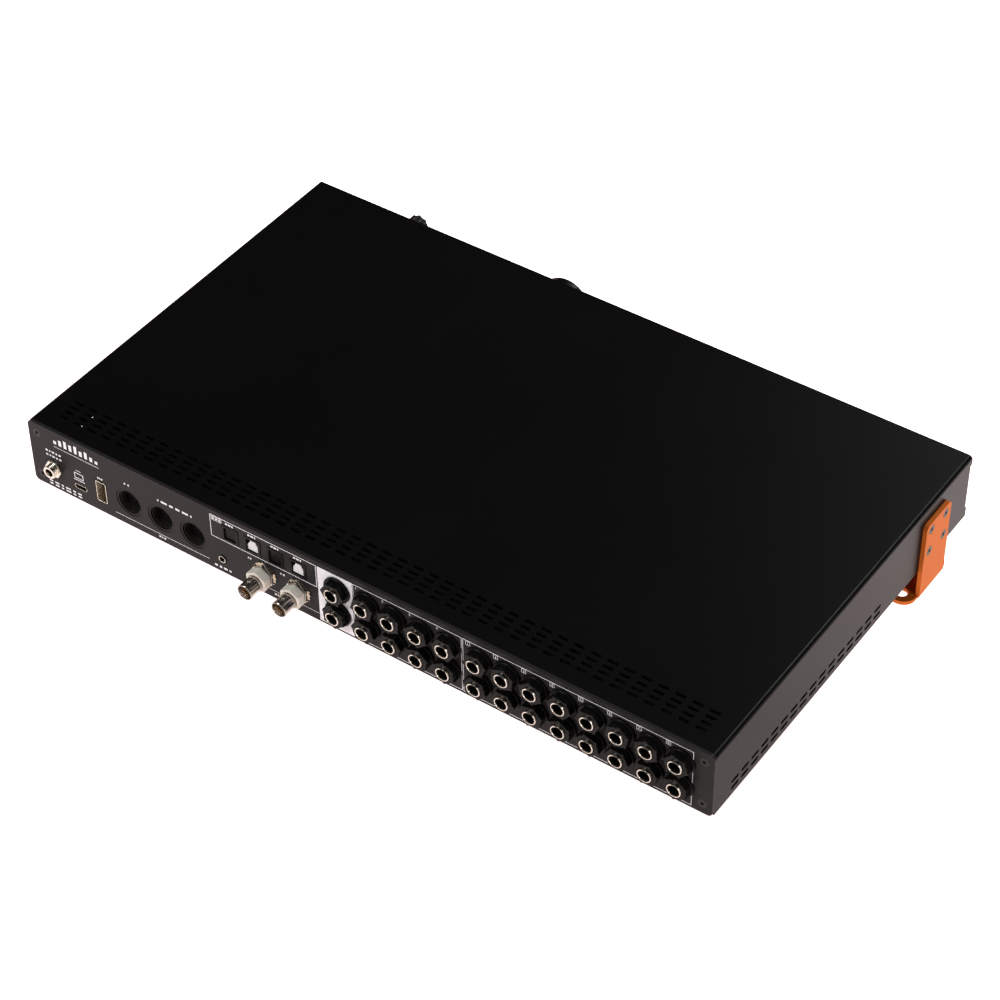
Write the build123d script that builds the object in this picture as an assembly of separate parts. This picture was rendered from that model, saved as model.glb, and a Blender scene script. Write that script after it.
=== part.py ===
"""Rack-width audio interface, one unit high, with its two ears turned under as a desk stand.

+X is the right-hand side seen from the front, the front faces -Y, the connector panel faces +Y.
The origin is under the middle of the whole object, on the plane of the ears' undersides.
"""

from build123d import *
import os
from math import cos, radians, sin

# Case
body_width = 442.0
body_depth = 263.4
body_height = 43.6
sheet = 1.2
cover_bend = 2.5
lip_height = 6.0
lip_proud = 1.5
rear_panel_thickness = 2.0
front_panel_thickness = 3.0
panel_corner = 3.0
panel_splits = (22.0, 92.0)

# Ears and the height that they lift the case
stand_height = 19.8
ear_thickness = 2.5
ear_plate_width = 27.0
ear_plate_top = 33.2
ear_flange_length = 46.0
ear_flange_reach = 22.8
ear_bend = 3.0
ear_centre_from_front = 39.8
ear_screw_height = 20.2
ear_screw_spacing = 15.6
rack_slot_spacing = 31.75
rack_slot_width = 7.0
rack_slot_length = 11.0
rack_slot_from_outside = 11.5

# Metric screws
screw_radius = 1.45
tapped_radius = 1.5
clear_radius = 1.6
screw_head_radius = 2.9
screw_head_depth = 1.6
base_screw_head_depth = 1.1

# Ventilation
top_slot_length = 6.4
top_slot_width = 1.9
top_slot_pitch = 10.0
top_slot_row_pitch = 4.45
top_slot_columns = 42
top_slot_rows = 4
top_slots_from_rear = 19.35
side_slot_length = 7.2
side_slot_width = 2.2
side_slot_pitch = 9.54
side_slot_row_pitch = 4.7
side_slot_columns = 16
side_slots_height = 7.25
first_side_slot = 21.2

# Quarter-inch jacks
jack_bore = 3.25
jack_barrel_radius = 4.25
jack_barrel_proud = 6.6
jack_barrel_inside = 10.0
jack_flange_radius = 8.3
jack_flange_thickness = 1.6
jack_nut_height = 5.4
jack_nut_radius = 6.5
jack_lobe_radius = 1.6
jack_lobe_circle = 6.0
jack_lobes = 6
jack_pitch = 17.2
jack_rows = (30.4, 13.6)
speaker_jack_x = 8.6
first_output_x = -10.6
output_columns = 4
first_input_x = -81.6
input_columns = 8
jack_housing_half = 7.4
jack_housing_depth = 34.0

# Other connectors on the rear panel: distance from the middle and height above the case's bottom
panel_screw_x = 215.0
panel_screw_heights = (6.6, 36.7)
front_screw_heights = (10.5, 33.1)
midi_x = (151.1, 128.8, 106.4)
midi_height = 17.6
midi_radius = 9.1
midi_recess_radius = 7.6
midi_recess_depth = 5.4
midi_depth = 15.0
optical_x = (79.9, 64.8, 49.5, 34.5)
optical_height = 31.1
optical_width = 11.0
optical_tall = 10.6
optical_depth = 16.0
port_width = 7.8
port_tall = 8.2
port_depth = 10.5
shutter_thickness = 0.8
bnc_x = (57.1, 34.4)
bnc_height = 15.8
bnc_radius = 4.85
bnc_proud = 18.2
bnc_nut_thickness = 3.0
bnc_nut_across = 13.6
bnc_collar_radius = 6.8
bnc_collar_end = 9.0
bnc_cavity_radius = 4.1
dc_x = 204.3
dc_height = 16.3
dc_radius = 3.9
dc_bore = 2.6
dc_proud = 5.6
usb_c_x = 186.7
usb_c_height = 10.2
usb_a_x = 171.2
usb_a_height = 15.0
clock_x = 86.8
clock_height = 10.1
mini_bore = 1.8
mini_radius = 2.5

# Front: distance from the middle, height above the case's bottom
middle_height = body_height / 2
combo_x = (-176.0, -144.0)
combo_radius = 12.1
combo_groove_outer = 9.6
combo_groove_inner = 7.6
combo_depth = 30.0
display_x = -54.0
display_width = 68.0
display_tall = 28.0
window_thickness = 1.5
encoder_x = 48.5
main_knob_radius = 16.0
main_knob_proud = 11.0
phones_x = 156.0
phones_height = 30.5
phones_knob_radius = 6.5
phones_knob_proud = 13.0
shaft_radius = 3.0
running_gap = 0.05
phones_jack_x = 180.0
phones_mini_x = 202.0
button_width = 9.0
button_tall = 5.0
button_gap = 0.25
knob_clearance = 0.8
button_row_high = 29.8
button_row_low = 13.8

# Frame: where the case lies about the origin
case_bottom = stand_height
case_top = stand_height + body_height
half_width = body_width / 2
rear_y = (body_depth + phones_knob_proud - bnc_proud) / 2
front_y = rear_y - body_depth
face_y = front_y + lip_proud
panel_back_y = rear_y - rear_panel_thickness
front_board_y = face_y + 16.5
ear_y = front_y + ear_centre_from_front
board_bottom = case_bottom + 4.4
board_top = board_bottom + 1.6

button_places = {
    "power_button": (-200.0, middle_height),
    "input_1_button": (-112.0, button_row_high),
    "input_2_button": (-112.0, button_row_low),
    "home_button": (4.0, button_row_high),
    "back_button": (4.0, button_row_low),
    "speaker_a_button": (84.0, middle_height),
    "speaker_b_button": (104.0, middle_height),
    "mute_button": (124.0, middle_height),
}


def block(x0, x1, y0, y1, z0, z1):
    """A box between two corners."""
    return Pos((x0 + x1) / 2, (y0 + y1) / 2, (z0 + z1) / 2) * Box(x1 - x0, y1 - y0, z1 - z0)


def rod(x, z, y0, y1, radius):
    """A round bar along Y, from y0 to y1."""
    return Pos(x, (y0 + y1) / 2, z) * Rot(90, 0, 0) * Cylinder(radius, y1 - y0)


def tube(x, z, y0, y1, outer, inner):
    """A round tube along Y."""
    return rod(x, z, y0, y1, outer) - rod(x, z, y0 - 1, y1 + 1, inner)


def post(x, y, z0, z1, radius):
    """An upright round bar."""
    return Pos(x, y, (z0 + z1) / 2) * Cylinder(radius, z1 - z0)


def cross_rod(x0, x1, y, z, radius):
    """A round bar along X."""
    return Pos((x0 + x1) / 2, y, z) * Rot(0, 90, 0) * Cylinder(radius, x1 - x0)


def hexagon_bar(x, z, y0, y1, across_flats):
    """A hexagonal bar along Y."""
    outline = RegularPolygon(across_flats / 2, 6, major_radius=False)
    return extrude(Plane((x, y0, z), x_dir=(1, 0, 0), z_dir=(0, 1, 0)) * outline, y1 - y0)


def slot_bar(x, z, y0, y1, wide, tall):
    """A bar along Y with round ends, longest along X."""
    outline = SlotOverall(wide, tall)
    return extrude(Plane((x, y0, z), x_dir=(1, 0, 0), z_dir=(0, 1, 0)) * outline, y1 - y0)


def rounded_bar(x, z, y0, y1, wide, tall, corner):
    """A bar along Y of rounded rectangular section."""
    outline = RectangleRounded(wide, tall, corner)
    return extrude(Plane((x, y0, z), x_dir=(1, 0, 0), z_dir=(0, 1, 0)) * outline, y1 - y0)


def line_jack_places():
    """Middle of every quarter-inch jack on the rear panel, from +X to -X and top to bottom."""
    columns = [speaker_jack_x]
    columns += [first_output_x - jack_pitch * n for n in range(output_columns)]
    columns += [first_input_x - jack_pitch * n for n in range(input_columns)]
    return [(x, case_bottom + height) for x in columns for height in jack_rows]


def panel_screw_places(heights):
    """The four corner screws that hold a panel to the corner blocks."""
    sides = (-panel_screw_x, panel_screw_x)
    return [(x, case_bottom + height) for x in sides for height in heights]


def ear_screw_places():
    """(y, z) of the four screws of an ear."""
    half = ear_screw_spacing / 2
    middle = case_bottom + ear_screw_height
    return [(ear_y + dy, middle + dz) for dy in (-half, half) for dz in (-half, half)]


def join(pieces):
    """Separate solids of one node, kept apart."""
    return Compound(children=[solid for piece in pieces for solid in piece.solids()])


def top_cover():
    """Inverted U of folded sheet with its top and side slots and a lip turned down at the front."""
    bottom = case_bottom + sheet
    outer = block(-half_width, half_width, front_y, panel_back_y, bottom, case_top)
    outer_edges = outer.edges().filter_by(Axis.Y).group_by(Axis.Z)[-1]
    outer = fillet(outer_edges, cover_bend)
    inner_half = half_width - sheet
    inner = block(-inner_half, inner_half, front_y, panel_back_y, bottom - 5, case_top - sheet)
    inner_edges = inner.edges().filter_by(Axis.Y).group_by(Axis.Z)[-1]
    inner = fillet(inner_edges, cover_bend - sheet)
    cover = outer - inner
    lip_bottom = case_top - lip_height
    cover += block(-inner_half, inner_half, front_y, front_y + sheet, lip_bottom, case_top - sheet)
    low = case_bottom + lip_height
    high = case_top - lip_height
    cover -= block(-half_width - 1, half_width + 1, front_y - 1, face_y, low, high)
    top_middle = Pos(0, rear_y - top_slots_from_rear, case_top - sheet - 1)
    grid = GridLocations(top_slot_pitch, top_slot_row_pitch, top_slot_columns, top_slot_rows)
    slot = extrude(SlotOverall(top_slot_length, top_slot_width), sheet + 2)
    cover -= [top_middle * place * slot for place in grid]
    run = side_slot_pitch * (side_slot_columns - 1)
    side_middle = (-half_width - 1, rear_y - first_side_slot - run / 2, case_bottom + side_slots_height)
    side_plane = Plane(side_middle, x_dir=(0, 1, 0), z_dir=(1, 0, 0))
    grid = GridLocations(side_slot_pitch, side_slot_row_pitch, side_slot_columns, 2)
    slot = extrude(SlotOverall(side_slot_length, side_slot_width), body_width + 2)
    cover -= [side_plane.location * place * slot for place in grid]
    for y, z in ear_screw_places():
        cover -= cross_rod(-half_width - 1, half_width + 1, y, z, clear_radius)
    return cover


def base_screw_places():
    """Where countersunk screws go up through the tray into the corner blocks and the nut plates."""
    rows = (panel_back_y - 11.0, front_y + 10.5)
    return [(x, y) for x in (-panel_screw_x, panel_screw_x) for y in rows]


def base_tray():
    """Flat bottom of folded sheet with a lip turned up at the front and countersunk holes."""
    tray = block(-half_width, half_width, front_y, panel_back_y, case_bottom, case_bottom + sheet)
    lip_half = half_width - sheet
    tray += block(-lip_half, lip_half, front_y, front_y + sheet, case_bottom, case_bottom + lip_height)
    for x, y in base_screw_places():
        sink = Pos(x, y, case_bottom + base_screw_head_depth / 2)
        tray -= sink * Cone(screw_head_radius + 0.1, clear_radius, base_screw_head_depth)
        tray -= post(x, y, case_bottom - 1, case_bottom + 3, clear_radius)
    return tray


def base_screws():
    """Countersunk screws under the tray, heads flush."""
    screws = []
    for x, y in base_screw_places():
        head = Pos(x, y, case_bottom + base_screw_head_depth / 2)
        screw = head * Cone(screw_head_radius, screw_radius, base_screw_head_depth)
        screw += post(x, y, case_bottom + base_screw_head_depth, case_bottom + 8, screw_radius)
        screw -= Pos(x, y, case_bottom - 0.5) * extrude(RegularPolygon(1.0, 6), 1.3)
        screws.append(screw)
    return join(screws)


def corner_blocks():
    """Four tapped uprights inside the corners, which the panels and the tray screw to."""
    blocks = []
    for side in (-1, 1):
        low_x, high_x = sorted((side * 210.6, side * 219.4))
        rear = (panel_back_y - 14, panel_back_y, panel_screw_heights)
        front = (face_y + front_panel_thickness, front_y + 16.5, front_screw_heights)
        for y0, y1, heights in (rear, front):
            upright = block(low_x, high_x, y0, y1, case_bottom + sheet, case_bottom + 41)
            for x, z in panel_screw_places(heights):
                if x * side > 0:
                    upright -= rod(x, z, y0 - 1, y1 + 1, tapped_radius)
            for x, y in base_screw_places():
                if x * side > 0 and y0 < y < y1:
                    upright -= post(x, y, case_bottom, case_bottom + 10, tapped_radius)
            blocks.append(upright)
    return join(blocks)


def ear_nut_plates():
    """Tapped plates inside the cover's walls, one behind each ear."""
    plates = []
    for side in (-1, 1):
        x0, x1 = sorted((side * 216.9, side * (half_width - sheet)))
        low, high = case_bottom + sheet, case_bottom + 39
        plate = block(x0, x1, ear_y - 14, ear_y + 14, low, high)
        for y, z in ear_screw_places():
            plate -= cross_rod(x0 - 1, x1 + 1, y, z, tapped_radius)
        plates.append(plate)
    return join(plates)


def ear(side):
    """Bent steel ear: a plate screwed to the case's side and a slotted flange turned in under it."""
    outside = half_width + ear_thickness
    height = case_bottom + ear_plate_top
    half = ear_plate_width / 2
    plate = block(half_width, outside, ear_y - half, ear_y + half, 0, height)
    plate = fillet(plate.edges().filter_by(Axis.X).group_by(Axis.Z)[-1], 3.0)
    flange_outline = Rectangle(ear_flange_reach - 1.0, ear_flange_length)
    corners = flange_outline.vertices().group_by(Axis.X)
    flange_outline = fillet(corners[-1], 8.0)
    flange_outline = fillet(flange_outline.vertices().group_by(Axis.X)[0], 2.0)
    flange_x = outside - 1.0 - (ear_flange_reach - 1.0) / 2
    flange = Pos(flange_x, ear_y, 0) * extrude(flange_outline, ear_thickness)
    piece = plate + flange
    under = piece.edges().filter_by(Axis.Y).filter_by(lambda e: e.center().Z < 0.01)
    outer_edge = under.sort_by(Axis.X)[-1]
    piece = fillet(outer_edge, ear_bend - 0.6)
    slot_x = outside - rack_slot_from_outside
    for offset in (-rack_slot_spacing / 2, rack_slot_spacing / 2):
        slot = extrude(SlotOverall(rack_slot_length, rack_slot_width), ear_thickness + 2)
        piece -= Pos(slot_x, ear_y + offset, -1) * slot
    for y, z in ear_screw_places():
        piece -= cross_rod(half_width - 1, outside + 1, y, z, clear_radius)
        sink = Pos(outside - screw_head_depth / 2, y, z) * Rot(0, 90, 0)
        piece -= sink * Cone(clear_radius, screw_head_radius + 0.1, screw_head_depth)
    return piece if side > 0 else mirror(piece, Plane.YZ)


def bracket_screws():
    """Countersunk socket screws that hold both ears."""
    outside = half_width + ear_thickness
    screws = []
    for y, z in ear_screw_places():
        head = Pos(outside - screw_head_depth / 2, y, z) * Rot(0, 90, 0)
        screw = head * Cone(screw_radius, screw_head_radius, screw_head_depth)
        screw += cross_rod(217.2, outside - screw_head_depth, y, z, screw_radius)
        socket = extrude(RegularPolygon(1.1, 6), 1.2)
        screw -= Pos(outside - 1.1, y, z) * Rot(0, 90, 0) * socket
        screws.append(screw)
        screws.append(mirror(screw, Plane.YZ))
    return join(screws)


def rear_panel():
    """Full-size plate with every connector's cut-out, as three touching bands so that each can be hulled finely."""
    middle = case_bottom + middle_height
    panel = rounded_bar(0, middle, panel_back_y, rear_y, body_width, body_height, panel_corner)
    y0, y1 = panel_back_y - 1, rear_y + 1
    cuts = [rod(x, z, y0, y1, jack_barrel_radius + 0.15) for x, z in line_jack_places()]
    cuts += [rod(x, case_bottom + midi_height, y0, y1, midi_radius + 0.1) for x in midi_x]
    cuts += [rod(x, case_bottom + bnc_height, y0, y1, bnc_radius + 0.15) for x in bnc_x]
    cuts.append(rod(dc_x, case_bottom + dc_height, y0, y1, dc_radius + 0.1))
    cuts.append(rod(clock_x, case_bottom + clock_height, y0, y1, mini_radius + 0.1))
    optical_z = case_bottom + optical_height
    for x in optical_x:
        cuts.append(rounded_bar(x, optical_z, y0, y1, optical_width + 0.3, optical_tall + 0.3, 0.5))
    cuts.append(slot_bar(usb_c_x, case_bottom + usb_c_height, y0, y1, 9.5, 3.8))
    cuts.append(rounded_bar(usb_a_x, case_bottom + usb_a_height, y0, y1, 8.3, 15.8, 1.0))
    for x, z in panel_screw_places(panel_screw_heights):
        cuts.append(rod(x, z, y0, y1, clear_radius))
        sink = Pos(x, rear_y - screw_head_depth / 2, z) * Rot(-90, 0, 0)
        cuts.append(sink * Cone(clear_radius, screw_head_radius + 0.1, screw_head_depth))
    for cut in cuts:
        panel -= cut
    edges = (-body_width / 2, *panel_splits, body_width / 2)
    return join([panel & block(x0, x1, y0, y1, case_bottom, case_top) for x0, x1 in zip(edges, edges[1:])])


def panel_screws():
    """Countersunk socket screws at the corners of the rear and front panels."""
    screws = []
    for x, z in panel_screw_places(panel_screw_heights):
        head = Pos(x, rear_y - screw_head_depth / 2, z) * Rot(-90, 0, 0)
        screw = head * Cone(screw_radius, screw_head_radius, screw_head_depth)
        screw += rod(x, z, rear_y - 10, rear_y - screw_head_depth, screw_radius)
        screws.append(screw - hexagon_bar(x, z, rear_y - 1.1, rear_y + 1, 2.0))
    for x, z in panel_screw_places(front_screw_heights):
        head = Pos(x, face_y + screw_head_depth / 2, z) * Rot(-90, 0, 0)
        screw = head * Cone(screw_head_radius, screw_radius, screw_head_depth)
        screw += rod(x, z, face_y + screw_head_depth, face_y + 10, screw_radius)
        screws.append(screw - hexagon_bar(x, z, face_y - 1, face_y + 1.1, 2.0))
    return join(screws)


def front_panel():
    """Plate behind the lips, with its window, knob, button and connector cut-outs."""
    half = half_width - sheet - 0.1
    back_y = face_y + front_panel_thickness
    low, high = case_bottom + sheet, case_top - sheet - 1.4
    panel = block(-half, half, face_y, back_y, low, high)
    y0, y1 = face_y - 1, back_y + 1
    middle = case_bottom + middle_height
    for x in combo_x:
        panel -= rod(x, middle, y0, y1, combo_radius + 0.1)
    recess = (display_width + 0.2, display_tall + 0.2, 1.5)
    panel -= rounded_bar(display_x, middle, y0, face_y + window_thickness, *recess)
    panel -= rounded_bar(display_x, middle, y0, y1, display_width - 8, display_tall - 4, 1.0)
    panel -= rod(encoder_x, middle, y0, y1, shaft_radius + 0.3)
    panel -= rod(phones_x, case_bottom + phones_height, y0, y1, shaft_radius + 0.3)
    panel -= rod(phones_jack_x, middle, y0, y1, jack_barrel_radius + 0.15)
    panel -= rod(phones_mini_x, middle, y0, y1, mini_radius + 0.1)
    for x, height in button_places.values():
        hole = (button_width + 2 * button_gap, button_tall + 2 * button_gap, 1.5)
        panel -= rounded_bar(x, case_bottom + height, y0, y1, *hole)
    for x, z in panel_screw_places(front_screw_heights):
        panel -= rod(x, z, y0, y1, clear_radius)
        sink = Pos(x, face_y + screw_head_depth / 2, z) * Rot(-90, 0, 0)
        panel -= sink * Cone(screw_head_radius + 0.1, clear_radius, screw_head_depth)
    return panel


def line_jack_barrels():
    """Nickel-plated threaded barrels with the bore that the plug enters."""
    barrels = []
    for x, z in line_jack_places():
        barrel = rod(x, z, rear_y - jack_barrel_inside, rear_y + jack_barrel_proud, jack_barrel_radius)
        barrel = chamfer(barrel.edges().group_by(Axis.Y)[-1], 0.4)
        barrels.append(barrel - rod(x, z, rear_y - 20, rear_y + 20, jack_bore))
    return join(barrels)


def line_jack_nuts():
    """Black flanged nuts with rounded lobes that clamp the jacks to the panel."""
    nuts = []
    for number, (x, z) in enumerate(line_jack_places()):
        nut = rod(x, z, rear_y, rear_y + jack_flange_thickness, jack_flange_radius)
        top = rear_y + jack_nut_height
        nut += rod(x, z, rear_y, top, jack_nut_radius)
        for lobe in range(jack_lobes):
            angle = radians(360 / jack_lobes * lobe + 23 * number)
            lobe_x = x + jack_lobe_circle * cos(angle)
            lobe_z = z + jack_lobe_circle * sin(angle)
            nut += rod(lobe_x, lobe_z, rear_y, top, jack_lobe_radius)
        nuts.append(nut - rod(x, z, rear_y - 1, top + 1, jack_barrel_radius + 0.05))
    return join(nuts)


def line_jack_housings():
    """Plastic bodies behind the panel that hold the jacks' contacts."""
    housings = []
    half = jack_housing_half
    inside = rear_y - jack_barrel_inside
    for x, z in line_jack_places():
        back = rear_y - jack_housing_depth
        housing = block(x - half, x + half, back, panel_back_y, z - half, z + half)
        housing -= rod(x, z, inside, rear_y, jack_barrel_radius + 0.05)
        housing -= rod(x, z, back + 2, inside + 1, jack_bore + 0.05)
        housings.append(housing)
    return join(housings)


def midi_cores():
    """Round plastic sockets with five pin holes in the floor of a recess."""
    cores = []
    z = case_bottom + midi_height
    front = rear_y - 0.3
    floor = front - midi_recess_depth
    for x in midi_x:
        core = rod(x, z, rear_y - midi_depth, front, midi_radius)
        core -= rod(x, z, floor, rear_y, midi_recess_radius)
        for step in range(5):
            angle = radians(-45 * step)
            core -= rod(x + 3.75 * cos(angle), z + 3.75 * sin(angle), floor - 6, rear_y, 0.75)
        cores.append(core)
    return join(cores)


def midi_shells():
    """Thin screening rings lining the recesses."""
    z = case_bottom + midi_height
    floor = rear_y - 0.3 - midi_recess_depth
    outer = midi_recess_radius - 0.05
    return join([tube(x, z, floor, rear_y - 1.2, outer, outer - 0.4) for x in midi_x])


def optical_housings():
    """Black optical blocks, each with a port that its shutter closes."""
    housings = []
    z = case_bottom + optical_height
    for x in optical_x:
        housing = rounded_bar(x, z, rear_y - optical_depth, rear_y + 0.4, optical_width, optical_tall, 0.4)
        half_wide, half_tall = port_width / 2, port_tall / 2
        back = rear_y - port_depth
        housing -= block(x - half_wide, x + half_wide, back, rear_y + 1, z - half_tall, z + half_tall)
        housings.append(housing)
    return join(housings)


def shutter_hinge_height():
    """Height of the line that a shutter turns about, near its top edge."""
    return case_bottom + optical_height + port_tall / 2 - 0.7


def shutter(x):
    """Thin flap with a rounded hinge edge that fills its port."""
    half = port_width / 2 - 0.15
    y = rear_y - 0.8
    hinge = shutter_hinge_height()
    bottom = case_bottom + optical_height - port_tall / 2 + 0.2
    flap = block(x - half, x + half, y - shutter_thickness / 2, y + shutter_thickness / 2, bottom, hinge)
    return flap + cross_rod(x - half, x + half, y, hinge, shutter_thickness / 2)


def bnc_shells():
    """Coaxial barrels with their bayonet studs and the shoulder behind the panel."""
    shells = []
    z = case_bottom + bnc_height
    tip = rear_y + bnc_proud
    for x in bnc_x:
        shell = rod(x, z, panel_back_y - 6, tip, bnc_radius)
        shell += rod(x, z, panel_back_y - 6, panel_back_y, bnc_collar_radius)
        shell += cross_rod(x - bnc_radius - 1.0, x + bnc_radius + 1.0, tip - 4.5, z, 1.0)
        shell -= rod(x, z, tip - 8, tip + 1, bnc_cavity_radius)
        shells.append(shell)
    return join(shells)


def bnc_collars():
    """Pale insulating collars between the nuts and the open ends."""
    z = case_bottom + bnc_height
    start, end = rear_y + bnc_nut_thickness, rear_y + bnc_collar_end
    return join([tube(x, z, start, end, bnc_collar_radius, bnc_radius + 0.05) for x in bnc_x])


def bnc_nuts():
    """Plated nuts that clamp the coaxial sockets to the panel."""
    z = case_bottom + bnc_height
    nuts = []
    for x in bnc_x:
        nut = hexagon_bar(x, z, rear_y, rear_y + bnc_nut_thickness, bnc_nut_across)
        nuts.append(nut - rod(x, z, rear_y - 1, rear_y + 5, bnc_radius + 0.05))
    return join(nuts)


def bnc_pins():
    """Centre contacts, each in its insulating sleeve."""
    z = case_bottom + bnc_height
    floor = rear_y + bnc_proud - 8
    pins = []
    for x in bnc_x:
        pin = rod(x, z, floor, floor + 4.5, 2.2)
        pin -= rod(x, z, floor + 1, floor + 5, 0.75)
        pins.append(pin)
    return join(pins)


def dc_jack_body():
    """Plated barrel of the power inlet with its hexagonal nut."""
    z = case_bottom + dc_height
    body = rod(dc_x, z, rear_y - 13, rear_y + dc_proud, dc_radius)
    body += hexagon_bar(dc_x, z, rear_y, rear_y + 2.2, 10.0)
    return body - rod(dc_x, z, rear_y - 9, rear_y + 10, dc_bore)


def dc_jack_pin():
    """Centre pin of the power inlet."""
    return rod(dc_x, case_bottom + dc_height, rear_y - 9, rear_y + 3.6, 1.0)


def mini_jack(x, z, outer_y, direction):
    """Small jack with a thin ring at the panel and a square body behind it."""
    ring = sorted((outer_y + 0.6 * direction, outer_y - 4 * direction))
    body = sorted((outer_y - 3.2 * direction, outer_y - 14 * direction))
    jack = rod(x, z, *ring, mini_radius) + block(x - 3.2, x + 3.2, *body, z - 3.2, z + 3.2)
    bore = sorted((outer_y + 2 * direction, outer_y - 12 * direction))
    return jack - rod(x, z, *bore, mini_bore)


def mini_jacks():
    """The clock output at the rear and the small headphone socket at the front."""
    clock = mini_jack(clock_x, case_bottom + clock_height, rear_y, 1)
    phones = mini_jack(phones_mini_x, case_bottom + middle_height, face_y, -1)
    return join([clock, phones])


def usb_c_shell():
    """Flattened steel tube of the small port."""
    z = case_bottom + usb_c_height
    shell = slot_bar(usb_c_x, z, rear_y - 8, rear_y, 9.0, 3.3)
    return shell - slot_bar(usb_c_x, z, rear_y - 7.5, rear_y + 1, 8.4, 2.7)


def usb_c_tongue():
    """Contact tongue in the middle of the small port."""
    z = case_bottom + usb_c_height
    return block(usb_c_x - 3.3, usb_c_x + 3.3, rear_y - 7.5, rear_y - 1.2, z - 0.35, z + 0.35)


def usb_a_shell():
    """Upright rectangular steel port."""
    z = case_bottom + usb_a_height
    shell = rounded_bar(usb_a_x, z, rear_y - 17, rear_y + 0.2, 7.2, 14.5, 0.6)
    return shell - rounded_bar(usb_a_x, z, rear_y - 16.5, rear_y + 1, 6.4, 13.7, 0.3)


def usb_a_tongue():
    """Plastic tongue along one side of the upright port."""
    z = case_bottom + usb_a_height
    return block(usb_a_x - 2.9, usb_a_x - 0.9, rear_y - 16.5, rear_y - 2, z - 5.7, z + 5.7)


def combo_jacks():
    """Round front sockets that take a three-pin or a quarter-inch plug."""
    z = case_bottom + middle_height
    jacks = []
    for x in combo_x:
        jack = rod(x, z, face_y - 0.4, face_y + combo_depth, combo_radius)
        jack -= tube(x, z, face_y - 2, face_y + 14, combo_groove_outer, combo_groove_inner)
        jack -= rod(x, z, face_y - 2, face_y + combo_depth - 2, jack_bore)
        for angle in (90, 210, 330):
            hole_x = x + 5.45 * cos(radians(angle))
            hole_z = z + 5.45 * sin(radians(angle))
            jack -= rod(hole_x, hole_z, face_y - 2, face_y + 12, 1.25)
        jacks.append(jack)
    return join(jacks)


def phones_jack():
    """Quarter-inch headphone socket: body behind the panel and a barrel with a nut in front."""
    z = case_bottom + middle_height
    back_y = face_y + front_panel_thickness
    half = jack_housing_half
    x = phones_jack_x
    jack = block(x - half, x + half, back_y, front_board_y - 0.2, z - half, z + half)
    jack += rod(x, z, face_y - 3.2, back_y + 1, jack_barrel_radius)
    jack += hexagon_bar(x, z, face_y - 2.2, face_y, 12.0)
    return jack - rod(x, z, face_y - 5, front_board_y - 1.5, jack_bore)


def main_board():
    """Circuit board on the tray that carries the rear connectors."""
    board = block(-205, 205, front_y + 32, panel_back_y - 1, board_bottom, board_top)
    for x, y in standoff_places():
        board -= post(x, y, board_bottom - 1, board_top + 1, clear_radius)
    return board


def standoff_places():
    """Eight supports under the main board, clear of the connectors."""
    rows = (front_y + 45, rear_y - 60)
    return [(x, y) for x in (-195, -65, 65, 195) for y in rows]


def board_standoffs():
    """Round tapped spacers between the tray and the main board."""
    spacers = []
    for x, y in standoff_places():
        spacer = post(x, y, case_bottom + sheet, board_bottom, 2.8)
        spacers.append(spacer - post(x, y, case_bottom, board_bottom + 1, tapped_radius))
    return join(spacers)


def board_screws():
    """Pan-head screws that hold the main board down."""
    screws = []
    for x, y in standoff_places():
        screw = post(x, y, board_top, board_top + 1.9, 2.75)
        screw += post(x, y, case_bottom + sheet + 0.4, board_top, screw_radius)
        screws.append(screw)
    return join(screws)


def heat_sink():
    """Finned aluminium block over the main processor."""
    low = board_top + 2.2
    sink = block(-25, 25, -22, 28, low, low + 14)
    for fin in range(8):
        x = -21.5 + 6 * fin
        sink -= block(x, x + 3.6, -23, 29, low + 3, low + 15)
    return sink


def main_chips():
    """Processor under the heat sink and the converters in a row behind the jacks."""
    chips = [block(-14, 14, -11, 17, board_top, board_top + 2.2)]
    for number in range(8):
        x = -190 + 22 * number
        chips.append(block(x, x + 10, 55, 65, board_top, board_top + 1.4))
    return join(chips)


def capacitors():
    """Upright capacitors beside the power inlet and the converters."""
    cans = []
    for column in range(6):
        for y in (-5, 15, 35):
            x = 110 + 14 * column
            cans.append(post(x, y, board_top, board_top + 13, 5.0))
    return join(cans)


def front_board():
    """Upright circuit board behind the front panel, for the display, knobs and buttons."""
    y0 = front_board_y
    board = block(-128, 208, y0, y0 + 1.6, case_bottom + 8, case_bottom + 39)
    power_x = button_places["power_button"][0]
    power = block(power_x - 6, power_x + 6, y0, y0 + 1.6, case_bottom + 14, case_bottom + 30)
    return join([board, power])


def ribbon_cable():
    """Flat cable from the front board's back down to the main board."""
    y0 = front_board_y + 1.6
    cable = block(-15, 15, y0, y0 + 20, case_bottom + 20, case_bottom + 20.8)
    cable += block(-15, 15, y0 + 19.2, y0 + 20, board_top, case_bottom + 20.8)
    return cable


def display_window():
    """Clear window let into the front panel."""
    z = case_bottom + middle_height
    return rounded_bar(display_x, z, face_y, face_y + window_thickness, display_width, display_tall, 1.4)


def display_module():
    """Colour display behind the window."""
    z = case_bottom + middle_height
    back_y = face_y + front_panel_thickness
    half_wide, half_tall = display_width / 2 - 2, display_tall / 2
    left, right = display_x - half_wide, display_x + half_wide
    return block(left, right, back_y, back_y + 3.5, z - half_tall, z + half_tall)


def encoder_body():
    """Square body of the push encoder, soldered to the front board."""
    z = case_bottom + middle_height
    x = encoder_x
    body = block(x - 6.5, x + 6.5, face_y + 8, front_board_y, z - 6.5, z + 6.5)
    return body - rod(x, z, face_y + 7, face_y + 14, shaft_radius + running_gap)


def encoder_plunger():
    """Disc inside the encoder that the shaft presses on to the switch."""
    return rod(encoder_x, case_bottom + middle_height, face_y + 11, face_y + 12.5, shaft_radius)


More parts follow.
